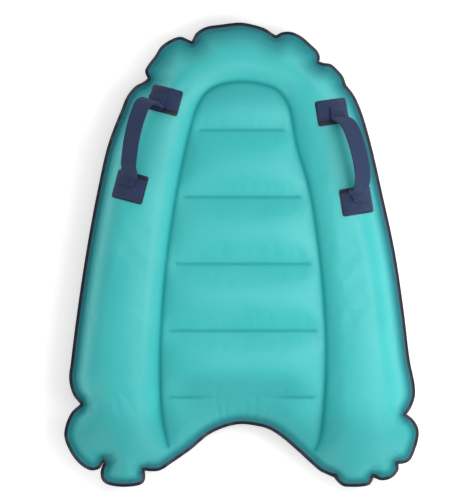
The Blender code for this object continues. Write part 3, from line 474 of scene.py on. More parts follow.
class Skin:
    """One swollen skin over the middle plane: its facets, heights and place beside the welds."""

    def __init__(self, outline, has_valve):
        self.outline, self.has_valve = outline, has_valve
        self.webs = cross_web_lines()
        layout = Layout()
        held = self.lay_out(layout)
        places = self.cut_facets(layout)
        self.rim_gap, self.rim_along = nearest_on(self.points, RIM)
        self.seat_gap = nearest_on(self.points, SEAT_LINE, False)[0]
        *web_gaps, self.last_web_gap = [nearest_on(self.points, line, False)[0]
                                        for line in self.webs]
        self.web_gap = np.min(web_gaps, axis=0)
        self.swell({places[index]: pinned_level(height) for index, height in held.items()})

    def lay_out(self, layout):
        """Lays out the skin's points, and gives the half height of each that a wall holds."""
        layout.add_path(self.outline, True)
        for distance in RIM_ROWS:
            layout.add_free(inward_loop(RIM, RIM_REVEAL + distance, RIM_STEP * ROOM_SHARE))
        held = dict(zip(layout.add_path(SEAT_LINE, False), perimeter_heights()))
        for line in self.webs:
            share = LAST_WEB_SHARE if line is self.webs[-1] else 1.0
            held.update(dict.fromkeys(layout.add_path(line, False), WEB_HALF_HEIGHT * share))
        for line in [SEAT_LINE] + self.webs:
            for distance in WELD_ROWS:
                for side in (distance, -distance):
                    layout.add_free(line + path_sides(line, False) * side)
        if self.has_valve:
            for radius in (VALVE_HOLE_RADIUS, VALVE_LAND_RADIUS):
                layout.add_path(valve_circle(radius), True)
            step = (VALVE_LAND_RADIUS - VALVE_HOLE_RADIUS) / VALVE_LAND_ROWS
            for row in range(1, VALVE_LAND_ROWS):
                layout.add_free(valve_circle(VALVE_HOLE_RADIUS + step * row))
        layout.add_free(self.free_grid())
        return held

    def free_grid(self):
        """An even grid over the skin, clear of the points that follow its rim, welds and valve."""
        room = MESH_SPACING * ROOM_SHARE
        grid = hex_grid(RIM, MESH_SPACING)
        grid = grid[inside(grid, RIM)]
        grid = grid[nearest_on(grid, RIM)[0] > RIM_REVEAL + max(RIM_ROWS) + room]
        for line in [SEAT_LINE] + self.webs:
            grid = grid[nearest_on(grid, line, False)[0] > max(WELD_ROWS) + room]
        if self.has_valve:
            grid = grid[from_valve(grid) > VALVE_LAND_RADIUS + room]
        return grid

    def cut_facets(self, layout):
        """Joins the points to facets, and gives the number that each laid out point gets."""
        found = delaunay_2d_cdt([Vector(point) for point in layout.points], layout.edges, [],
                                0, SOLVE_TOLERANCE)
        points, faces = np.array([tuple(point) for point in found[0]]), np.array(found[2])
        centres = points[faces].mean(axis=1)
        keep = inside(centres, self.outline)
        if self.has_valve:
            keep &= from_valve(centres) > VALVE_HOLE_RADIUS
        used, numbers = np.unique(faces[keep], return_inverse=True)
        self.points, self.faces = points[used], numbers.reshape(-1, 3)
        new_number = {old: new for new, old in enumerate(used)}
        return {source: new_number[index] for index, sources in enumerate(found[3])
                for source in sources if index in new_number}

    def swell(self, pinned):
        """Blows the skin up between its pinned points."""
        on_flange = self.rim_gap < RIM_REVEAL + FLANGE_WIDTH + PIN_MARGIN
        pinned.update(dict.fromkeys(np.nonzero(on_flange)[0], 0.0))
        if self.has_valve:
            on_land = from_valve(self.points) < VALVE_LAND_RADIUS + PIN_MARGIN
            level = pinned_level(VALVE_LAND_HEIGHT)
            pinned.update(dict.fromkeys(np.nonzero(on_land)[0], level))
        centres = self.points[self.faces].mean(axis=1)
        along = centres[:, 1] / BOARD_LENGTH + 0.5
        loads = TAIL_FULLNESS_SHARE + (NOSE_FULLNESS_SHARE - TAIL_FULLNESS_SHARE) * along
        loads[inside(centres, SEAT_LINE)] = SEAT_FULLNESS_SHARE
        self.heights = swollen(*film_levels(self.points, self.faces, loads, pinned))
        self.pinned = np.array(sorted(pinned))


# Meshes

def face_normals(points, faces):
    corner = points[faces[:, 0]]
    return np.cross(points[faces[:, 1]] - corner, points[faces[:, 2]] - corner)


def point_normals(points, faces):
    """The unit normal at each point, from the facets round it by their areas."""
    normals = np.zeros_like(points)
    across = face_normals(points, faces)
    for corner in range(3):
        for axis in range(3):
            normals[:, axis] += np.bincount(faces[:, corner], across[:, axis], len(points))
    return normals / np.linalg.norm(normals, axis=1)[:, None]


def boundary_edges(faces):
    """The edges that only one facet has, in that facet's direction."""
    edges = np.concatenate((faces[:, [0, 1]], faces[:, [1, 2]], faces[:, [2, 0]]))
    keys = np.sort(edges, axis=1)
    _, places, counts = np.unique(keys, axis=0, return_inverse=True, return_counts=True)
    return edges[counts[places.reshape(-1)] == 1]


def thickened(points, faces, wall):
    """The closed sheet whose outer side is the given facets."""
    count = len(points)
    inner = points - point_normals(points, faces) * wall
    edges = boundary_edges(faces)
    first, second = edges[:, 0], edges[:, 1]
    sides = np.concatenate((np.stack((second, first, first + count), axis=1),
                            np.stack((second, first + count, second + count), axis=1)))
    return np.vstack((points, inner)), np.vstack((faces, faces[:, ::-1] + count, sides))


def linked(name, data):
    """A new object of the scene from its data."""
    item = bpy.data.objects.new(name, data)
    bpy.context.collection.objects.link(item)
    return item


def linked_mesh(name, points, faces):
    mesh = bpy.data.meshes.new(name)
    mesh.from_pydata([tuple(point) for point in points], [], [tuple(map(int, f)) for f in faces])
    return linked(name, mesh)


def new_piece(name, points, faces, material):
    """A piece of the object from points in world places and faces."""
    item = linked_mesh(name, points, faces)
    item.data.materials.append(material)
    item.data.shade_smooth()
    item.data.update()
    return item


def outward_piece(name, points, faces, material, slot):
    """A new piece whose faces are all turned outwards."""
    item = new_piece(name, points, faces, material)
    work = bmesh.new()
    work.from_mesh(item.data)
    bmesh.ops.recalc_face_normals(work, faces=work.faces)
    work.to_mesh(item.data)
    work.free()
    return item


def add_values(item, name, values):
    """A value for each point of the mesh, which its material reads."""
    values = np.asarray(values, dtype=np.float32)
    kind = "FLOAT" if values.ndim == 1 else "FLOAT_VECTOR"
    layer = item.data.attributes.new(name, kind, "POINT")
    layer.data.foreach_set("value" if kind == "FLOAT" else "vector", values.ravel())


# Materials

def linear(channel):
    """A colour channel from 0 to 255 as the share of light that it stands for."""
    share = channel / 255
    return share / 12.92 if share <= 0.04045 else ((share + 0.055) / 1.055) ** 2.4


def colour(red, green, blue):
    return (linear(red), linear(green), linear(blue), 1.0)


def grey(level):
    return (level, level, level, 1.0)


class Shading:
    """A material and a short way to add and join its nodes."""

    def __init__(self, name, roughness):
        self.material = bpy.data.materials.new(name)
        self.material.use_nodes = True
        self.tree = self.material.node_tree
        self.shader = self.tree.nodes["Principled BSDF"]
        self.shader.inputs["Roughness"].default_value = roughness

    def add(self, kind, inputs, **settings):
        """A node with its inputs set by name, each to a value or to another node's output."""
        node = self.tree.nodes.new("ShaderNode" + kind)
        for name, value in settings.items():
            setattr(node, name, value)
        for name, value in inputs.items():
            if isinstance(value, bpy.types.NodeSocket):
                self.tree.links.new(value, node.inputs[name])
            else:
                node.inputs[name].default_value = value
        return node

    def places(self):
        return self.add("TexCoord", {}).outputs["Object"]

    def value(self, name):
        return self.add("Attribute", {}, attribute_name=name).outputs["Fac"]

    def vector(self, name):
        return self.add("Attribute", {}, attribute_name=name).outputs["Vector"]

    def noise(self, where, scale, detail=2.0):
        inputs = {"Vector": where, "Scale": scale, "Detail": detail}
        return self.add("TexNoise", inputs).outputs["Fac"]

    def math(self, operation, first, second=0.0):
        return self.add("Math", {0: first, 1: second}, operation=operation).outputs[0]

    def mapped(self, value, low, high, to_low=0.0, to_high=1.0):
        inputs = {"Value": value, "From Min": low, "From Max": high, "To Min": to_low,
                  "To Max": to_high}
        return self.add("MapRange", inputs, interpolation_type="SMOOTHSTEP").outputs["Result"]

    def mix(self, share, first, second):
        inputs = {0: share, 6: first, 7: second}
        return self.add("Mix", inputs, data_type="RGBA").outputs[2]

    def weave(self, where, pitches):
        """Threads crossed by threads, as a height from -1 to 1."""
        split = self.add("SeparateXYZ", {0: where})
        threads = [self.math("SINE", self.math("MULTIPLY", split.outputs[axis],
                                               2 * math.pi / pitch))
                   for axis, pitch in zip("XY", pitches)]
        return self.math("MULTIPLY", *threads)

    def bump(self, height, distance, strength=1.0, **more):
        inputs = {"Height": height, "Distance": distance, "Strength": strength, **more}
        return self.add("Bump", inputs).outputs["Normal"]

    def set(self, name, socket):
        self.tree.links.new(socket, self.shader.inputs[name])


# Coated fabric: its clouds of tone, its weave, and how uneven it lies
FABRIC_CLOUD_SCALE = 9.0
FABRIC_CLOUD_RANGE = (0.35, 0.65)
WEAVE_PITCH = 0.0011
WEAVE_DEPTH = 0.00002
UNEVEN_SCALE = 60.0
UNEVEN_DEPTH = 0.0004
UNEVEN_STRENGTH = 0.3
FINE_DETAIL = 3.0
GROOVE_ROUGHNESS = 0.9


def coated_fabric(name, base, deep, roughness, shade=None, strip=None, groove=None):
    """Woven fabric under a smooth coating: a fine weave, a greyer rim strip, and painted shade."""
    shading = Shading(name, roughness)
    where = shading.places()
    cloud = shading.mapped(shading.noise(where, FABRIC_CLOUD_SCALE), *FABRIC_CLOUD_RANGE)
    tint = shading.mix(cloud, colour(*base), colour(*deep))
    if shade is not None:
        # Painted shade: darker teal in the welds' grooves, beside the rim, over the tail and at the
        # seat's ends, made matt as well
        in_groove, in_shade = shading.value("groove"), shading.value("painted_shade")
        tint = shading.mix(in_groove, tint, colour(*groove))
        tint = shading.mix(in_shade, tint, colour(*shade))
        tint = shading.mix(shading.value("strip"), tint, colour(*strip))
        matt = shading.math("MAXIMUM", in_groove, in_shade)
        shading.set("Roughness", shading.mapped(matt, 0.0, 1.0, roughness, GROOVE_ROUGHNESS))
    shading.set("Base Color", tint)
    fine = shading.bump(shading.weave(where, (WEAVE_PITCH, WEAVE_PITCH)), WEAVE_DEPTH)
    uneven = shading.noise(where, UNEVEN_SCALE, FINE_DETAIL)
    shading.set("Normal", shading.bump(uneven, UNEVEN_DEPTH, UNEVEN_STRENGTH, Normal=fine))
    return shading.material


# The shade and groove colours are painted shade, not the fabric's own tone
DECK_FABRIC = coated_fabric("deck_fabric", (63, 188, 187), (56, 184, 184), roughness=0.45,
                            shade=(17, 134, 140), strip=(44, 112, 126), groove=(6, 150, 152))
SLICK_FABRIC = coated_fabric("slick_fabric", (12, 28, 44), (10, 24, 40), roughness=0.42)
# The patches' own navy, made darker to pass for the shade under the pads' curled corners: partly
# painted shade
PATCH_FABRIC = coated_fabric("patch_fabric", (12, 22, 44), (10, 18, 38), roughness=0.5)
WEB_FABRIC = coated_fabric("web_fabric", (150, 205, 205), (140, 195, 195), roughness=0.5)

# Webbing: its roughness, its rows of threads, its mottling, and the painted shade on a pad's
# curled-up corner
WEBBING_ROUGHNESS = 0.82
WARP_PITCH = 0.0022
WEFT_PITCH = 0.0016
WEBBING_RELIEF = 0.00018
WEBBING_CLOUD_SCALE = 55.0
WEBBING_CLOUD_RANGE = (0.35, 0.7)
CURL_SHADE_RANGE = (0.1, 0.5)


def webbing_weave(name, base, deep, warm, curl_shade):
    """Plain woven webbing: weft crossed by warp, a little mottled, painted shade where a pad curls
    up.
    """
    shading = Shading(name, WEBBING_ROUGHNESS)
    where = shading.vector("cloth")
    weave = shading.weave(where, (WARP_PITCH, WEFT_PITCH))
    cloud = shading.mapped(shading.noise(where, WEBBING_CLOUD_SCALE), *WEBBING_CLOUD_RANGE)
    tint = shading.mix(cloud, colour(*base), colour(*warm))
    tint = shading.mix(shading.mapped(weave, -1.0, 1.0), colour(*deep), tint)
    # Painted shade: near-black navy on a pad's curled-up corner, as if in the shadow under it
    lifted = shading.mapped(shading.value("lifted"), *CURL_SHADE_RANGE)
    shading.set("Base Color", shading.mix(lifted, tint, colour(*curl_shade)))
    shading.set("Normal", shading.bump(weave, WEBBING_RELIEF))
    return shading.material


WEBBING = webbing_weave("webbing", base=(36, 60, 98), deep=(20, 40, 72), warm=(50, 54, 96),
                        curl_shade=(4, 18, 38))

# The stitches' thread: each stitch is an arch of so many steps
THREAD_ROUGHNESS = 0.6
THREAD_DEEP_SHARE = 0.75
THREAD_RADIUS = 0.00032
THREAD_SIDES = 6
THREAD_STEPS = 4
THREAD_ARCH = 0.00045
THREAD_SINK = 0.00015
TWIST_SCALE = 2200.0


def spun_thread(name, tone):
    """Twisted polyester thread."""
    shading = Shading(name, THREAD_ROUGHNESS)
    twist = shading.noise(shading.places(), TWIST_SCALE, 1.0)
    deep = [channel * THREAD_DEEP_SHARE for channel in tone]
    shading.set("Base Color", shading.mix(twist, colour(*tone), colour(*deep)))
    shading.set("Normal", shading.bump(twist, THREAD_RADIUS / 4))
    return shading.material


THREAD = spun_thread("thread", (44, 66, 108))

# Moulded pieces: their faint clouds of tone and gloss, and the strength of their grain
MOULD_CLOUD_SCALE = 45.0
MOULD_CLOUD_RANGE = (0.3, 0.7)
MOULD_DEEP_SHARE = 0.86
MOULD_GLOSS_SWING = 0.05
GRAIN_STRENGTH = 0.5


def moulded(name, tone, roughness, grain, relief):
    """A moulded piece: faint clouding, and the fine grain of its mould."""
    shading = Shading(name, roughness)
    where = shading.places()
    cloud = shading.mapped(shading.noise(where, MOULD_CLOUD_SCALE), *MOULD_CLOUD_RANGE)
    deep = [channel * MOULD_DEEP_SHARE for channel in tone]
    shading.set("Base Color", shading.mix(cloud, colour(*tone), colour(*deep)))
    shading.set("Roughness", shading.mapped(cloud, 0.0, 1.0, roughness - MOULD_GLOSS_SWING,
                                            roughness + MOULD_GLOSS_SWING))
    grained = shading.noise(where, grain, FINE_DETAIL)
    shading.set("Normal", shading.bump(grained, relief, GRAIN_STRENGTH))
    return shading.material


# The two skins

def turned(direction, angle):
    return np.array((direction[0] * math.cos(angle) - direction[1] * math.sin(angle),
                     direction[0] * math.sin(angle) + direction[1] * math.cos(angle)))


def pucker_places():
    """Each pucker of the rim, by the run that starts there: its place and the way inwards."""
    sides = path_sides(RIM, True)
    found = {}
    for name, shares in RIM_RUN_SHARES.items():
        place = np.array(share_point(shares[0]))
        nearest = np.hypot(*(RIM - place).T).argmin()
        beside = [(nearest + step) % len(RIM) for step in range(-PUCKER_SPAN, PUCKER_SPAN + 1)]
        inward = sides[beside].sum(axis=0)
        found[name] = (RIM[nearest], inward / np.hypot(*inward))
    return found


PUCKERS = pucker_places()


def tucked_outline(outline):
    """The deck's edge, drawn in a little at each pucker, where the slick side shows."""
    moved = outline.copy()
    for name, (place, inward) in PUCKERS.items():
        near = np.exp(-((outline - place) ** 2).sum(axis=1) / TUCK_REACH ** 2)
        moved += inward * (TUCK_DEPTHS[name] * near)[:, None]
    return moved


def crease(points, start, end, half_width, early):
    """A unit groove from start to end, with a low ridge on each side, faded at its ends."""
    run = end - start
    share = np.clip((points - start) @ run / (run @ run), 0.0, 1.0)
    gap = np.hypot(*(points - start - share[:, None] * run).T) / half_width
    fade = np.sin(math.pi * (early + (1.0 - early) * share))
    return fade * (np.exp(-gap ** 2) - RIDGE_SHARE * np.exp(-(gap - RIDGE_OFFSET) ** 2))


def varied(swing_share, wave):
    """A share from one down to one less twice the swing, as the wave goes from 1 to -1."""
    return 1.0 - swing_share * (1.0 - wave)


def rim_relief(points):
    """The fans of creases at the rim's puckers, as depths."""
    depth = np.zeros(len(points))
    for number, (place, inward) in enumerate(PUCKERS.values()):
        near = np.hypot(*(points - place).T) < PUCKER_LENGTH * PUCKER_NEAR_SHARE
        for turn, angle in enumerate(PUCKER_ANGLES):
            way = turned(inward, angle)
            length_phase, depth_phase = [first * number + second * turn
                                         for first, second in (LENGTH_PHASES, DEPTH_PHASES)]
            reach = PUCKER_LENGTH * varied(LENGTH_SWING_SHARE, math.sin(length_phase))
            fold = crease(points[near], place + way * PUCKER_INSET, place + way * reach,
                          PUCKER_HALF_WIDTH, PUCKER_EARLY_SHARE)
            depth[near] += fold * PUCKER_DEPTH * varied(DEPTH_SWING_SHARE, math.cos(depth_phase))
    return depth


def tail_relief(points):
    """The upright creases at the middle of the tail, as depths."""
    depth = np.zeros(len(points))
    for shares in TAIL_CREASE_SHARES:
        start, end = [np.array(share_point(share)) for share in shares]
        depth += crease(points, start, end, TAIL_CREASE_HALF_WIDTH, 0.0) * TAIL_CREASE_DEPTH
    return depth


def flange_waves(skin):
    """How far the joined flanges rise and sink along the rim."""
    length = path_runs(RIM, True)[2][-1]
    level = np.zeros(len(skin.points))
    for number, (wave, height) in enumerate(FLANGE_WAVES):
        turns = round(length / wave)
        phase = 2.0 * math.pi * turns * skin.rim_along / length + WAVE_PHASE * number
        level += height * np.sin(phase)
    return level * (1.0 - smooth_step(skin.rim_gap / WAVE_FADE))


def skin_space(skin, upward):
    """The skin's points in space, and its facets turned outwards."""
    sign = 1.0 if upward else -1.0
    space = np.column_stack((skin.points, MIDDLE_Z + sign * (RIM_LIFT + skin.heights)))
    faces = skin.faces.copy()
    turn = (face_normals(space, faces)[:, 2] > 0) != upward
    faces[turn] = faces[turn][:, ::-1]
    return space, faces


def settled(space, faces, pinned):
    """The skin once its slightly slack cloth has settled under the air, held at its welds."""
    item = linked_mesh("cloth", space, faces)
    item.vertex_groups.new(name="welds").add(pinned.tolist(), 1.0, "REPLACE")
    cloth = item.modifiers.new("air", "CLOTH").settings
    for name, value in CLOTH_SETTINGS.items():
        setattr(cloth, name, value)
    cloth.vertex_group_mass = "welds"
    cloth.effector_weights.gravity = 0.0
    scene = bpy.context.scene
    for number in range(1, CLOTH_FRAMES + 1):
        scene.frame_set(number)
    moved = np.empty(len(space) * 3, dtype=np.float32)
    real = item.evaluated_get(bpy.context.evaluated_depsgraph_get())
    real.data.vertices.foreach_get("co", moved)
    bpy.data.meshes.remove(item.data)
    scene.frame_set(1)
    shift = moved.reshape(-1, 3).astype(float) - space
    reach = np.linalg.norm(shift, axis=1)
    eased = CLOTH_REACH * np.tanh(reach / CLOTH_REACH)
    return space + shift * (eased / np.maximum(reach, SOLVE_TOLERANCE))[:, None]


def with_relief(skin, space, upward):
    """The skin with its flange's waves and its creases."""
    space = space.copy()
    puckers = rim_relief(skin.points)
    blown = smooth_step((skin.rim_gap - RIM_REVEAL - FLANGE_WIDTH / 2) / FLANGE_WIDTH)
    space[:, 2] += flange_waves(skin) - puckers * (1.0 - blown) * FLANGE_PUCKER_SHARE
    if upward:
        space[:, 2] -= puckers * blown + tail_relief(skin.points)
    else:
        space[:, 2] = np.maximum(space[:, 2] + puckers * blown, 0.0)
    return space


def rim_band(skin, start, fade):
    """One beside the rim, fading to nothing further in."""
    return 1.0 - smooth_step((skin.rim_gap - start) / fade)


def strip_values(skin):
    """How strongly the strip beside the rim shows at each point."""
    reach = path_runs(RIM, True)[2]
    share = np.interp(skin.rim_along, reach, np.append(RIM_STRIP, RIM_STRIP[0]))
    return share * rim_band(skin, STRIP_END, STRIP_FADE)


def shade_values(skin):
    """How strongly the painted shade shows: beside the rim, where the deck falls to the tail,
    and at both ends of the seat."""
    across = np.abs(skin.points[:, 0]) * 2 / BOARD_WIDTH
    along = skin.points[:, 1] * 2 / BOARD_LENGTH
    band = rim_band(skin, STRIP_END, SHADE_FADE + NOSE_FADE * risen(along, *NOSE_SPAN_SHARES))
    tail = TAIL_SHADE_SHARE * risen(along, *TAIL_SPAN_SHARES)
    seat = SEAT_SHADE_SHARE * risen(along, *SEAT_SPAN_SHARES)
    seat *= 1.0 - risen(across, *SEAT_SIDE_SPAN_SHARES)
    nose_seat = NOSE_SEAT_SHADE_SHARE * risen(along, *NOSE_SEAT_SPAN_SHARES)
    nose_seat *= inside(skin.points, SEAT_LINE)
    return np.max([band, tail, seat, nose_seat], axis=0)


def groove_values(skin):
    """How strongly the painted shade in the welds' grooves shows, the last one only towards its ends.
    """
    across = np.abs(skin.points[:, 0]) * 2 / BOARD_WIDTH
    seat = np.exp(-(skin.seat_gap / SEAT_GROOVE_REACH) ** 2)
    web, last = [np.exp(-(gap / WEB_GROOVE_REACH) ** 2) for gap in (skin.web_gap, skin.last_web_gap)]
    last *= risen(across, *LAST_GROOVE_SPAN_SHARES)
    return np.maximum(seat, WEB_GROOVE_SHARE * np.maximum(web, last))


def make_skin(name, outline, upward, material):
    """One skin as a piece of the board, and its outer surface."""
    skin = Skin(outline, not upward)
    space, faces = skin_space(skin, upward)
    space = settled(space, faces, skin.pinned)
    space = with_relief(skin, space, upward)
    points, solid = thickened(space, faces, SKIN_WALL)
    item = new_piece(name, points, solid, material)
    # Values for the material: its greyer strip, and where painted shade goes beside the rim and in
    # the grooves
    for value, found in (("strip", strip_values), ("painted_shade", shade_values),
                         ("groove", groove_values)):
        add_values(item, value, np.tile(found(skin), 2))
    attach(item, "board")
    return item, space, faces


DECK_OUTLINE = tucked_outline(inward_loop(RIM, RIM_REVEAL, RIM_STEP * ROOM_SHARE))
deck, deck_space, deck_faces = make_skin("deck", DECK_OUTLINE, True, DECK_FABRIC)
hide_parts("deck_skin")
slick, _, _ = make_skin("slick", RIM, False, SLICK_FABRIC)
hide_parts("slick_skin")


# The handles: a patch and a sewn pad at each end, and between them a strap of folded webbing

# How each handle is turned in the plane, and its strap's course over the deck, as shares of its
# run and of its rise
HANDLE_TURNS = {"left": math.radians(-15.0), "right": math.radians(9.0)}
COURSE_SHARES = {
    "left": [(-0.11, 0.08), (-0.135, 0.32), (-0.11, 0.58), (-0.04, 0.74), (0.08, 0.78),
             (0.28, 0.76), (0.55, 0.63), (0.80, 0.41), (0.94, 0.25), (1.0, 0.08)],
    "right": [(-0.03, 0.16), (0.03, 0.38), (0.13, 0.53), (0.36, 0.65), (0.61, 0.67),
              (0.80, 0.61), (0.93, 0.51), (1.02, 0.36), (1.05, 0.19), (1.03, 0.05)],
}
GRIP_RISE = 0.0385
GRIP_LEAN = math.radians(40.0)
ROOT_REACH = 0.0218

# Beside the middle of each patch, front and rear: where the strap leaves it, as outwards and
# inwards, and from where to where its pad reaches inwards
FOOT_PLACES = {"left": ((0.0115, 0.0085), (0.0080, 0.0150)),
               "right": ((0.0085, 0.0135), (0.0055, 0.0120))}
PAD_REACHES = {"left": ((-0.0205, 0.0165), (-0.0210, 0.0205)),
               "right": ((-0.0150, 0.0210), (-0.0195, 0.0195))}

# The patches and the pads, and the pads' inner corners, which curl off the deck
PATCH_MARGIN = 0.0022
PATCH_WIDTH = 0.050
PATCH_WALL = 0.0006
PATCH_CORNER = 0.0040
PAD_WIDTH = 0.0450
PAD_WALL = 0.0014
PAD_CORNER = 0.0012
PAD_BASE = PATCH_WALL + 2 * CONTACT_GAP
CURL_LENGTH = 0.0118
CURL_ANGLE = math.radians(70.0)
CURL_EDGE = 0.0010
CURL_EASE = 0.0080

# The folded webbing: its own sizes, the end that lies sewn, and how it leaves that end
STRAP_WIDTH = 0.0285
PLY_WALL = 0.0014
FOLD_RADIUS = 0.00085
FOLD_ANGLE = math.radians(179.0)
STRAP_LIFT = PAD_BASE + CONTACT_GAP + PAD_WALL + FOLD_RADIUS + PLY_WALL / 2
HEM_LENGTH = 0.0150
HEM_STEP_SHARES = (1.0, 0.66, 0.33, 0.0)
STRAP_TILT = math.radians(28.0)
SETTLE_LENGTH = 0.012
TURN_LENGTH = 3 * SETTLE_LENGTH

# The spacing of the fine surfaces, and how their edges are rounded
STRAP_STEP = 0.0016
SHEET_STEP = 0.0018
EDGE_ROUNDING = 0.0006
EDGE_STEP_SHARES = (0.2, 0.6, 1.0)
EDGE_THINNING_SHARE = 0.85

# The box stitch on each pad
STITCH_PITCH = 0.0032
STITCH_REST_SHARE = 0.12
STITCH_INSET = 0.0030
STITCH_GAP = 0.0010

# Straight up, and a height from which to look down on the board
UPRIGHT = Vector((0.0, 0.0, 1.0))
ABOVE_BOARD = 1.0


class Surface:
    """A surface to set things down on."""

    def __init__(self, points, faces):
        self.tree = BVHTree.FromPolygons([Vector(point) for point in points],
                                         [tuple(map(int, face)) for face in faces])

    def at(self, place, lift):
        """The point over a place in the plane, lifted off the surface, and its upward normal."""
        start = Vector((place.x, place.y, ABOVE_BOARD))
        point, normal, _, _ = self.tree.ray_cast(start, -UPRIGHT)
        if normal.z < 0.0:
            normal = -normal
        return point + normal * lift, normal


def node_centre(node):
    low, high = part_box(node)
    return (low + high) / 2


class Handle:
    """The places and directions that one handle is made from."""

    def __init__(self, side, surface):
        self.side, self.surface = side, surface
        self.sign = -1.0 if side == "left" else 1.0
        self.ends = [node_centre(f"{side}_{place}_patch") for place in ("front", "rear")]
        joint = next(j for j in frame["joints"] if j["name"] == f"{side}_handle_swing")
        self.pivot, self.axis = Vector(joint["pos_m"]), Vector(joint["axis"]).normalized()
        between = (self.ends[1] - self.ends[0]).to_2d()
        if between.dot(self.axis.to_2d()) < 0:
            self.axis = -self.axis
        half = (between.length / 2 - ROOT_REACH) / self.axis.to_2d().length
        self.start, self.end = [self.pivot + self.axis * reach for reach in (-half, half)]
        self.up = (UPRIGHT - self.axis * UPRIGHT.dot(self.axis)).normalized()
        self.out = self.up.cross(self.axis)
        if self.out.x * self.sign < 0:
            self.out = -self.out
        self.rise = self.up * math.cos(GRIP_LEAN) + self.out * math.sin(GRIP_LEAN)
        turn = HANDLE_TURNS[side]
        self.along = Vector((math.sin(turn), -math.cos(turn), 0.0))
        self.across = Vector((math.cos(turn), math.sin(turn), 0.0)) * self.sign

    def on_deck(self, end, out, inward, lift):
        """A point beside an end's middle: outwards, and inwards to the other end."""
        way = 1.0 if end == 0 else -1.0
        place = self.ends[end] + self.across * out + self.along * inward * way
        return self.surface.at(place, lift)


def spread_steps(half, rounding):
    """Even steps from -half to half, with closer ones where an edge is rounded."""
    count = math.ceil(2 * half / SHEET_STEP)
    steps = [-half + 2 * half * index / count for index in range(count + 1)]
    steps[1:1] = [-half + rounding * share for share in EDGE_STEP_SHARES]
    steps[-1:-1] = [half - rounding * share for share in EDGE_STEP_SHARES[::-1]]
    return steps


def corner_pull(out, inward, half_width, half_length, corner):
    """A place in a rectangle, drawn in where the rectangle's corner is rounded."""
    over_x, over_y = abs(out) - half_width + corner, abs(inward) - half_length + corner
    if over_x <= 0 or over_y <= 0:
        return out, inward
    shrink = max(over_x, over_y) / math.hypot(over_x, over_y)
    return (math.copysign(half_width - corner + over_x * shrink, out),
            math.copysign(half_length - corner + over_y * shrink, inward))


def edge_share(gap, rounding):
    """How much of its thickness a sheet has at this distance from its edge."""
    inset = min(max(gap / rounding, 0.0), 1.0)
    return math.sqrt(1.0 - EDGE_THINNING_SHARE * (1.0 - inset) ** 2)


def curled(out, inward, lift, near_end):
    """A pad's place and lift where its inner corner curls off the deck."""
    loose = smooth_step((CURL_EDGE - out) / CURL_EASE)
    start = near_end - CURL_LENGTH
    past = inward - start
    if past <= 0.0 or loose == 0.0:
        return inward, lift
    radius = CURL_LENGTH / (CURL_ANGLE * loose)
    at = past / radius
    return start + radius * math.sin(at), lift + radius * (1.0 - math.cos(at))


def there_and_back(row):
    """The values of a ring, from those of its lower side, which its upper side repeats."""
    return row + row[::-1]


def closed_sweep(rings):
    """Faces round and along rings of equal counts, with the first and last ring closed."""
    width = len(rings[0])
    last = (len(rings) - 1) * width
    faces = [(start + index, start + (index + 1) % width,
              start + width + (index + 1) % width, start + width + index)
             for start in range(0, last, width) for index in range(width)]
    faces += [(start + index, start + index + 1, start + width - 2 - index, start + width - 1 - index)
              for start in (0, last) for index in range(width // 2 - 1)]
    return [point for ring in rings for point in ring], faces


def make_sheet(handle, end, name, reach, width, wall, base, corner, curls, material, slot):
    """A thin rectangle with rounded edges and corners, laid on the deck."""
    middle, half_width, half_length = sum(reach) / 2, width / 2, (reach[1] - reach[0]) / 2
    columns = spread_steps(half_width, wall)
    rings, cloth, turned_up = [], [], []
    for row in spread_steps(half_length, wall):
        low, high, lifts = [], [], []
        for column in columns:
            gap = min(half_width - abs(column), half_length - abs(row))
            out, inward = corner_pull(column, row, half_width, half_length, corner)
            inward, lift = inward + middle, base + wall / 2
            if curls:
                inward, lift = curled(out, inward, lift, reach[1])
            point, normal = handle.on_deck(end, out, inward, lift)
            thick = wall / 2 * edge_share(gap, wall)
            low.append(point - normal * thick)
            high.append(point + normal * thick)
            lifts.append((lift - base) / CURL_LENGTH)
        rings.append(low + high[::-1])
        turned_up += there_and_back(lifts)
        cloth += there_and_back([(column, row, 0.0) for column in columns])
    item = outward_piece(name, *closed_sweep(rings), material, slot)
    add_values(item, "cloth", cloth)
    # How far a pad curls off the deck, which sets the webbing's painted shade
    add_values(item, "lifted", turned_up)
    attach(item, "board")
    return item


def folded_profile():
    """Rows across the folded webbing, inner ply first: place, upper side and half thickness."""
    rows = []
    for out in spread_steps(STRAP_WIDTH, EDGE_ROUNDING):
        past = max(-out, 0.0)
        bend = min(past / FOLD_RADIUS, FOLD_ANGLE)
        straight = max(past - FOLD_ANGLE * FOLD_RADIUS, 0.0)
        x = max(out, 0.0) - FOLD_RADIUS * math.sin(bend) - straight * math.cos(bend)
        z = straight * math.sin(bend) - FOLD_RADIUS * math.cos(bend)
        wall = PLY_WALL / 2 * edge_share(STRAP_WIDTH - abs(out), EDGE_ROUNDING)
        rows.append((out, x - STRAP_WIDTH / 2, z, (math.sin(bend), math.cos(bend)), wall))
    return rows


def even_steps(points, step):
    """Points evenly spaced along a line of many points."""
    reach = [0.0]
    for first, second in zip(points, points[1:]):
        reach.append(reach[-1] + (second - first).length)
    count = round(reach[-1] / step)
    found, index = [], 0
    for number in range(count + 1):
        target = reach[-1] * number / count
        while index < len(points) - 2 and reach[index + 1] < target:
            index += 1
        share = (target - reach[index]) / (reach[index + 1] - reach[index])
        found.append(points[index].lerp(points[index + 1], share))
    return found


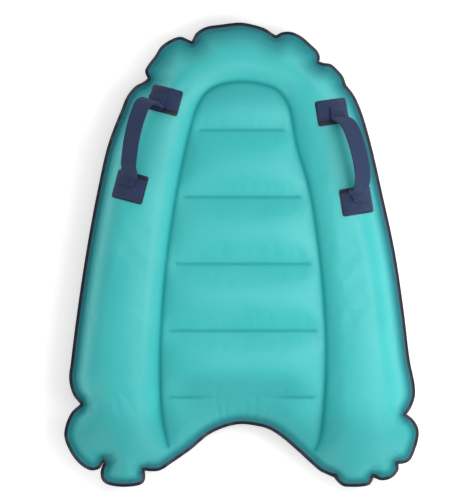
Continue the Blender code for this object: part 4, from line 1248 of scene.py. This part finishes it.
def strap_line(handle):
    """The strap's middle line, from the sewn end on the front pad to that on the rear one."""
    feet = FOOT_PLACES[handle.side]
    sewn = [[handle.on_deck(end, out, inward - HEM_LENGTH * share, STRAP_LIFT)[0]
             for share in HEM_STEP_SHARES] for end, (out, inward) in enumerate(feet)]
    course = []
    for along, share in COURSE_SHARES[handle.side]:
        base = feet[0][0] + (feet[1][0] - feet[0][0]) * along
        course.append(handle.start.lerp(handle.end, along) + handle.out * base
                      + handle.rise * share * GRIP_RISE)
    line = curve_through(sewn[0] + course + sewn[1][::-1], STRAP_STEP / 2)
    return even_steps(line, STRAP_STEP)


def strap_ring(handle, profile, place, side, up, hold, closing):
    """The webbing's ring round one place of the strap, which follows the deck where it's held."""
    low, high = [], []
    for _, x, z, (nx, nz), wall in profile:
        point = place + side * x + up * z
        normal = side * nx + up * nz
        if hold > 0.0:
            under = handle.surface.at(point, 0.0)[0].z - handle.surface.at(place, 0.0)[0].z
            level = point.z - z * up.z - place.z
            point = point + UPRIGHT * ((under - level) * hold)
        low.append(point - normal * wall * closing)
        high.append(point + normal * wall * closing)
    return low + high[::-1]


def make_strap(handle):
    """The strap, and the points and faces of its sewn ends."""
    line, profile = strap_line(handle), folded_profile()
    beside = [(handle.on_deck(end, out + STRAP_WIDTH / 2, inward, 0.0)[0]
               - handle.on_deck(end, out - STRAP_WIDTH / 2, inward, 0.0)[0]).normalized()
              for end, (out, inward) in enumerate(FOOT_PLACES[handle.side])]
    tilted = handle.out * math.cos(STRAP_TILT) - handle.up * math.sin(STRAP_TILT)
    rings, cloth, last = [], [], len(line) - 1
    for number, place in enumerate(line):
        run = (line[min(number + 1, last)] - line[max(number - 1, 0)]).normalized()
        reach = min(number, last - number) * STRAP_STEP
        end = 0 if number * 2 < len(line) else 1
        free = smooth_step((reach - HEM_LENGTH) / TURN_LENGTH)
        hold = 1.0 - smooth_step((reach - HEM_LENGTH) / SETTLE_LENGTH)
        side = beside[end].lerp(tilted, free)
        side = (side - run * side.dot(run)).normalized()
        rings.append(strap_ring(handle, profile, place, side, side.cross(run) * -handle.sign, hold,
                                edge_share(reach, 2 * EDGE_ROUNDING)))
        cloth += there_and_back([(row[0], number * STRAP_STEP, 0.0) for row in profile])
    points, faces = closed_sweep(rings)
    item = outward_piece(f"{handle.side}_strap", points, faces, WEBBING, "webbing")
    add_values(item, "cloth", cloth)
    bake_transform(item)
    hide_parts(f"{handle.side}_grip")
    sewn = len(rings[0]) * math.ceil(HEM_LENGTH / STRAP_STEP)
    return points, [face for face in faces if max(face) < sewn or min(face) >= len(points) - sewn]


def stitch(start, end, upright):
    """One stitch of thread, a little arch with its ends sunk in the webbing."""
    run = end - start
    side = run.cross(upright).normalized()
    turns = [2.0 * math.pi * index / THREAD_SIDES for index in range(THREAD_SIDES)]
    rings = []
    for number in range(THREAD_STEPS + 1):
        share = number / THREAD_STEPS
        rise = THREAD_ARCH * math.sin(math.pi * share) - THREAD_SINK
        place = start + run * share + upright * rise
        rings.append([place + side * THREAD_RADIUS * math.cos(turn)
                      + upright * THREAD_RADIUS * math.sin(turn) for turn in turns])
    return closed_sweep(rings)


def stitch_rows(reach):
    """The lines of the box stitch, and of the cross inside it, on one pad."""
    low, high = reach[0] + STITCH_INSET, reach[1] - CURL_LENGTH - STITCH_GAP
    wide = PAD_WIDTH / 2 - STITCH_INSET
    corners = [Vector(corner) for corner in ((-wide, low), (wide, low), (wide, high), (-wide, high))]
    rows = list(zip(corners, corners[1:] + corners[:1]))
    return rows + [(corners[0], corners[2]), (corners[1], corners[3])]


def joined(pieces):
    """One list of points and one of faces from several."""
    points, faces = [], []
    for piece_points, piece_faces in pieces:
        start = len(points)
        points += list(piece_points)
        faces += [tuple(start + index for index in face) for face in piece_faces]
    return points, faces


def make_stitches(handle, name, end, reach, top):
    """The stitches that hold a pad and the strap's end on it."""
    stitches = []
    for start, stop in stitch_rows(reach):
        count = round((stop - start).length / STITCH_PITCH)
        for number in range(count):
            ends = []
            for share in (number + STITCH_REST_SHARE, number + 1.0 - STITCH_REST_SHARE):
                place = start.lerp(stop, share / count)
                ends.append(top.at(handle.on_deck(end, place.x, place.y, 0.0)[0], 0.0))
            (first, normal), (second, _) = ends
            stitches.append(stitch(first, second, normal))
    item = outward_piece(name, *joined(stitches), THREAD, "webbing")
    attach(item, "board")


def mesh_parts(item):
    """A piece's points and faces."""
    return ([vertex.co.copy() for vertex in item.data.vertices],
            [tuple(polygon.vertices) for polygon in item.data.polygons])


PATCH_SHEET = {"width": PATCH_WIDTH, "wall": PATCH_WALL, "base": CONTACT_GAP,
               "corner": PATCH_CORNER, "curls": False, "material": PATCH_FABRIC,
               "slot": "patch_fabric"}
PAD_SHEET = {"width": PAD_WIDTH, "wall": PAD_WALL, "base": PAD_BASE, "corner": PAD_CORNER,
             "curls": True, "material": WEBBING, "slot": "webbing"}
DECK_SURFACE = Surface(deck_space, deck_faces)
for side in ("left", "right"):
    handle = Handle(side, DECK_SURFACE)
    ends = list(zip(("front", "rear"), PAD_REACHES[side]))
    pads = []
    for end, (place, reach) in enumerate(ends):
        patch_reach = (reach[0] - PATCH_MARGIN, reach[1] + PATCH_MARGIN)
        patch = make_sheet(handle, end, f"{side}_{place}_patch_cover", patch_reach, **PATCH_SHEET)
        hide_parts(f"{side}_{place}_patch")
        pad = make_sheet(handle, end, f"{side}_{place}_pad", reach, **PAD_SHEET)
        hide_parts(f"{side}_{place}_tab")
        pads.append(mesh_parts(pad))
    top = Surface(*joined(pads + [make_strap(handle)]))
    for end, (place, reach) in enumerate(ends):
        make_stitches(handle, f"{side}_{place}_stitches", end, reach, top)


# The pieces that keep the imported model's own shape

def dress(nodes, material):
    """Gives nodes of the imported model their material."""
    for node in nodes:
        for slot in frame["nodes"][node].material_slots:
            slot.material = material


dress(["perimeter_web"] + CROSS_WEBS, WEB_FABRIC)
dress(["valve_base", "valve_insert", "valve_tether", "valve_cap"],
      moulded("valve_plastic", (40, 48, 62), roughness=0.45, grain=2400.0, relief=0.00003))
dress(["valve_seal"],
      moulded("seal_rubber", (24, 24, 26), roughness=0.7, grain=1500.0, relief=0.00004))
dress(["valve_membrane"],
      moulded("membrane_rubber", (199, 204, 204), roughness=0.5, grain=900.0, relief=0.00002))


# The floor, the light and the camera

FLOOR_SIZE = 12.0
FLOOR_GAP = 0.0005
FLOOR_ROUGHNESS = 0.9
FLOOR_TONES = (0.92, 0.94)
FLOOR_CLOUD_SCALE = 3.0
FLOOR_GLOW = 0.40
WORLD_LIGHT = 0.20

# Each light's azimuth and tilt in degrees, its distance and size, and its power in watts
LIGHTS = {"right": (0.0, 40.0, 2.5, 1.5, 4.5),
          "nose_right": (45.0, 65.0, 2.5, 1.5, 19.2),
          "nose_left": (135.0, 65.0, 2.5, 1.5, 15.5),
          "tail_left": (225.0, 65.0, 2.5, 1.5, 15.7),
          "tail_right": (315.0, 65.0, 2.5, 1.5, 25.3),
          "near_right": (0.0, 30.0, 1.1, 0.5, 3.95),
          "near_top": (0.0, 0.0, 1.1, 0.5, 1.6)}

# The photograph's frame and the place of the board in it, in pixels
PHOTO_WIDTH = 469
PHOTO_HEIGHT = 500
OUTLINE_CENTRE = (241.5, 254.75)
OUTLINE_LENGTH = 464.5

# The camera's height over the board, and its sensor in millimetres
CAMERA_HEIGHT = 6.0
SENSOR = 36.0


def make_floor():
    half = FLOOR_SIZE / 2
    item = linked_mesh("floor", [(-half, -half, 0.0), (half, -half, 0.0), (half, half, 0.0),
                                 (-half, half, 0.0)], [(0, 1, 2, 3)])
    item.location.z = -FLOOR_GAP
    shading = Shading("floor", FLOOR_ROUGHNESS)
    cloud = shading.noise(shading.places(), FLOOR_CLOUD_SCALE)
    shading.set("Base Color", shading.mix(cloud, *map(grey, FLOOR_TONES)))
    shading.shader.inputs["Emission Color"].default_value = grey(1.0)
    shading.shader.inputs["Emission Strength"].default_value = FLOOR_GLOW
    item.data.materials.append(shading.material)


def area_light(name, azimuth, tilt, distance, size, power):
    """A soft box that looks at the board from this azimuth, and this far off the upright."""
    light = bpy.data.lights.new(name, "AREA")
    light.size = size
    light.energy = power
    around, off = math.radians(azimuth), math.radians(tilt)
    way = (math.sin(off) * math.cos(around), math.sin(off) * math.sin(around), math.cos(off))
    place = Vector(way) * distance
    item = linked(name, light)
    item.location = place
    item.rotation_euler = (-place).to_track_quat("-Z", "Y").to_euler()


def make_camera():
    """The photograph's camera, which looks straight down on the board from high up."""
    per_pixel = BOARD_LENGTH / OUTLINE_LENGTH
    camera = bpy.data.cameras.new("camera")
    camera.sensor_fit = "VERTICAL"
    camera.sensor_height = SENSOR
    camera.lens = SENSOR * CAMERA_HEIGHT / (PHOTO_HEIGHT * per_pixel)
    item = linked("camera", camera)
    item.location = ((PHOTO_WIDTH / 2 - OUTLINE_CENTRE[0]) * per_pixel,
                     (OUTLINE_CENTRE[1] - PHOTO_HEIGHT / 2) * per_pixel,
                     MIDDLE_Z + CAMERA_HEIGHT)
    bpy.context.scene.camera = item


make_floor()
for name, settings in LIGHTS.items():
    area_light(name, *settings)
world = bpy.data.worlds.new("studio")
world.use_nodes = True
world.node_tree.nodes["Background"].inputs["Color"].default_value = grey(1.0)
world.node_tree.nodes["Background"].inputs["Strength"].default_value = WORLD_LIGHT
bpy.context.scene.world = world
bpy.context.scene.view_settings.view_transform = "Standard"
make_camera()
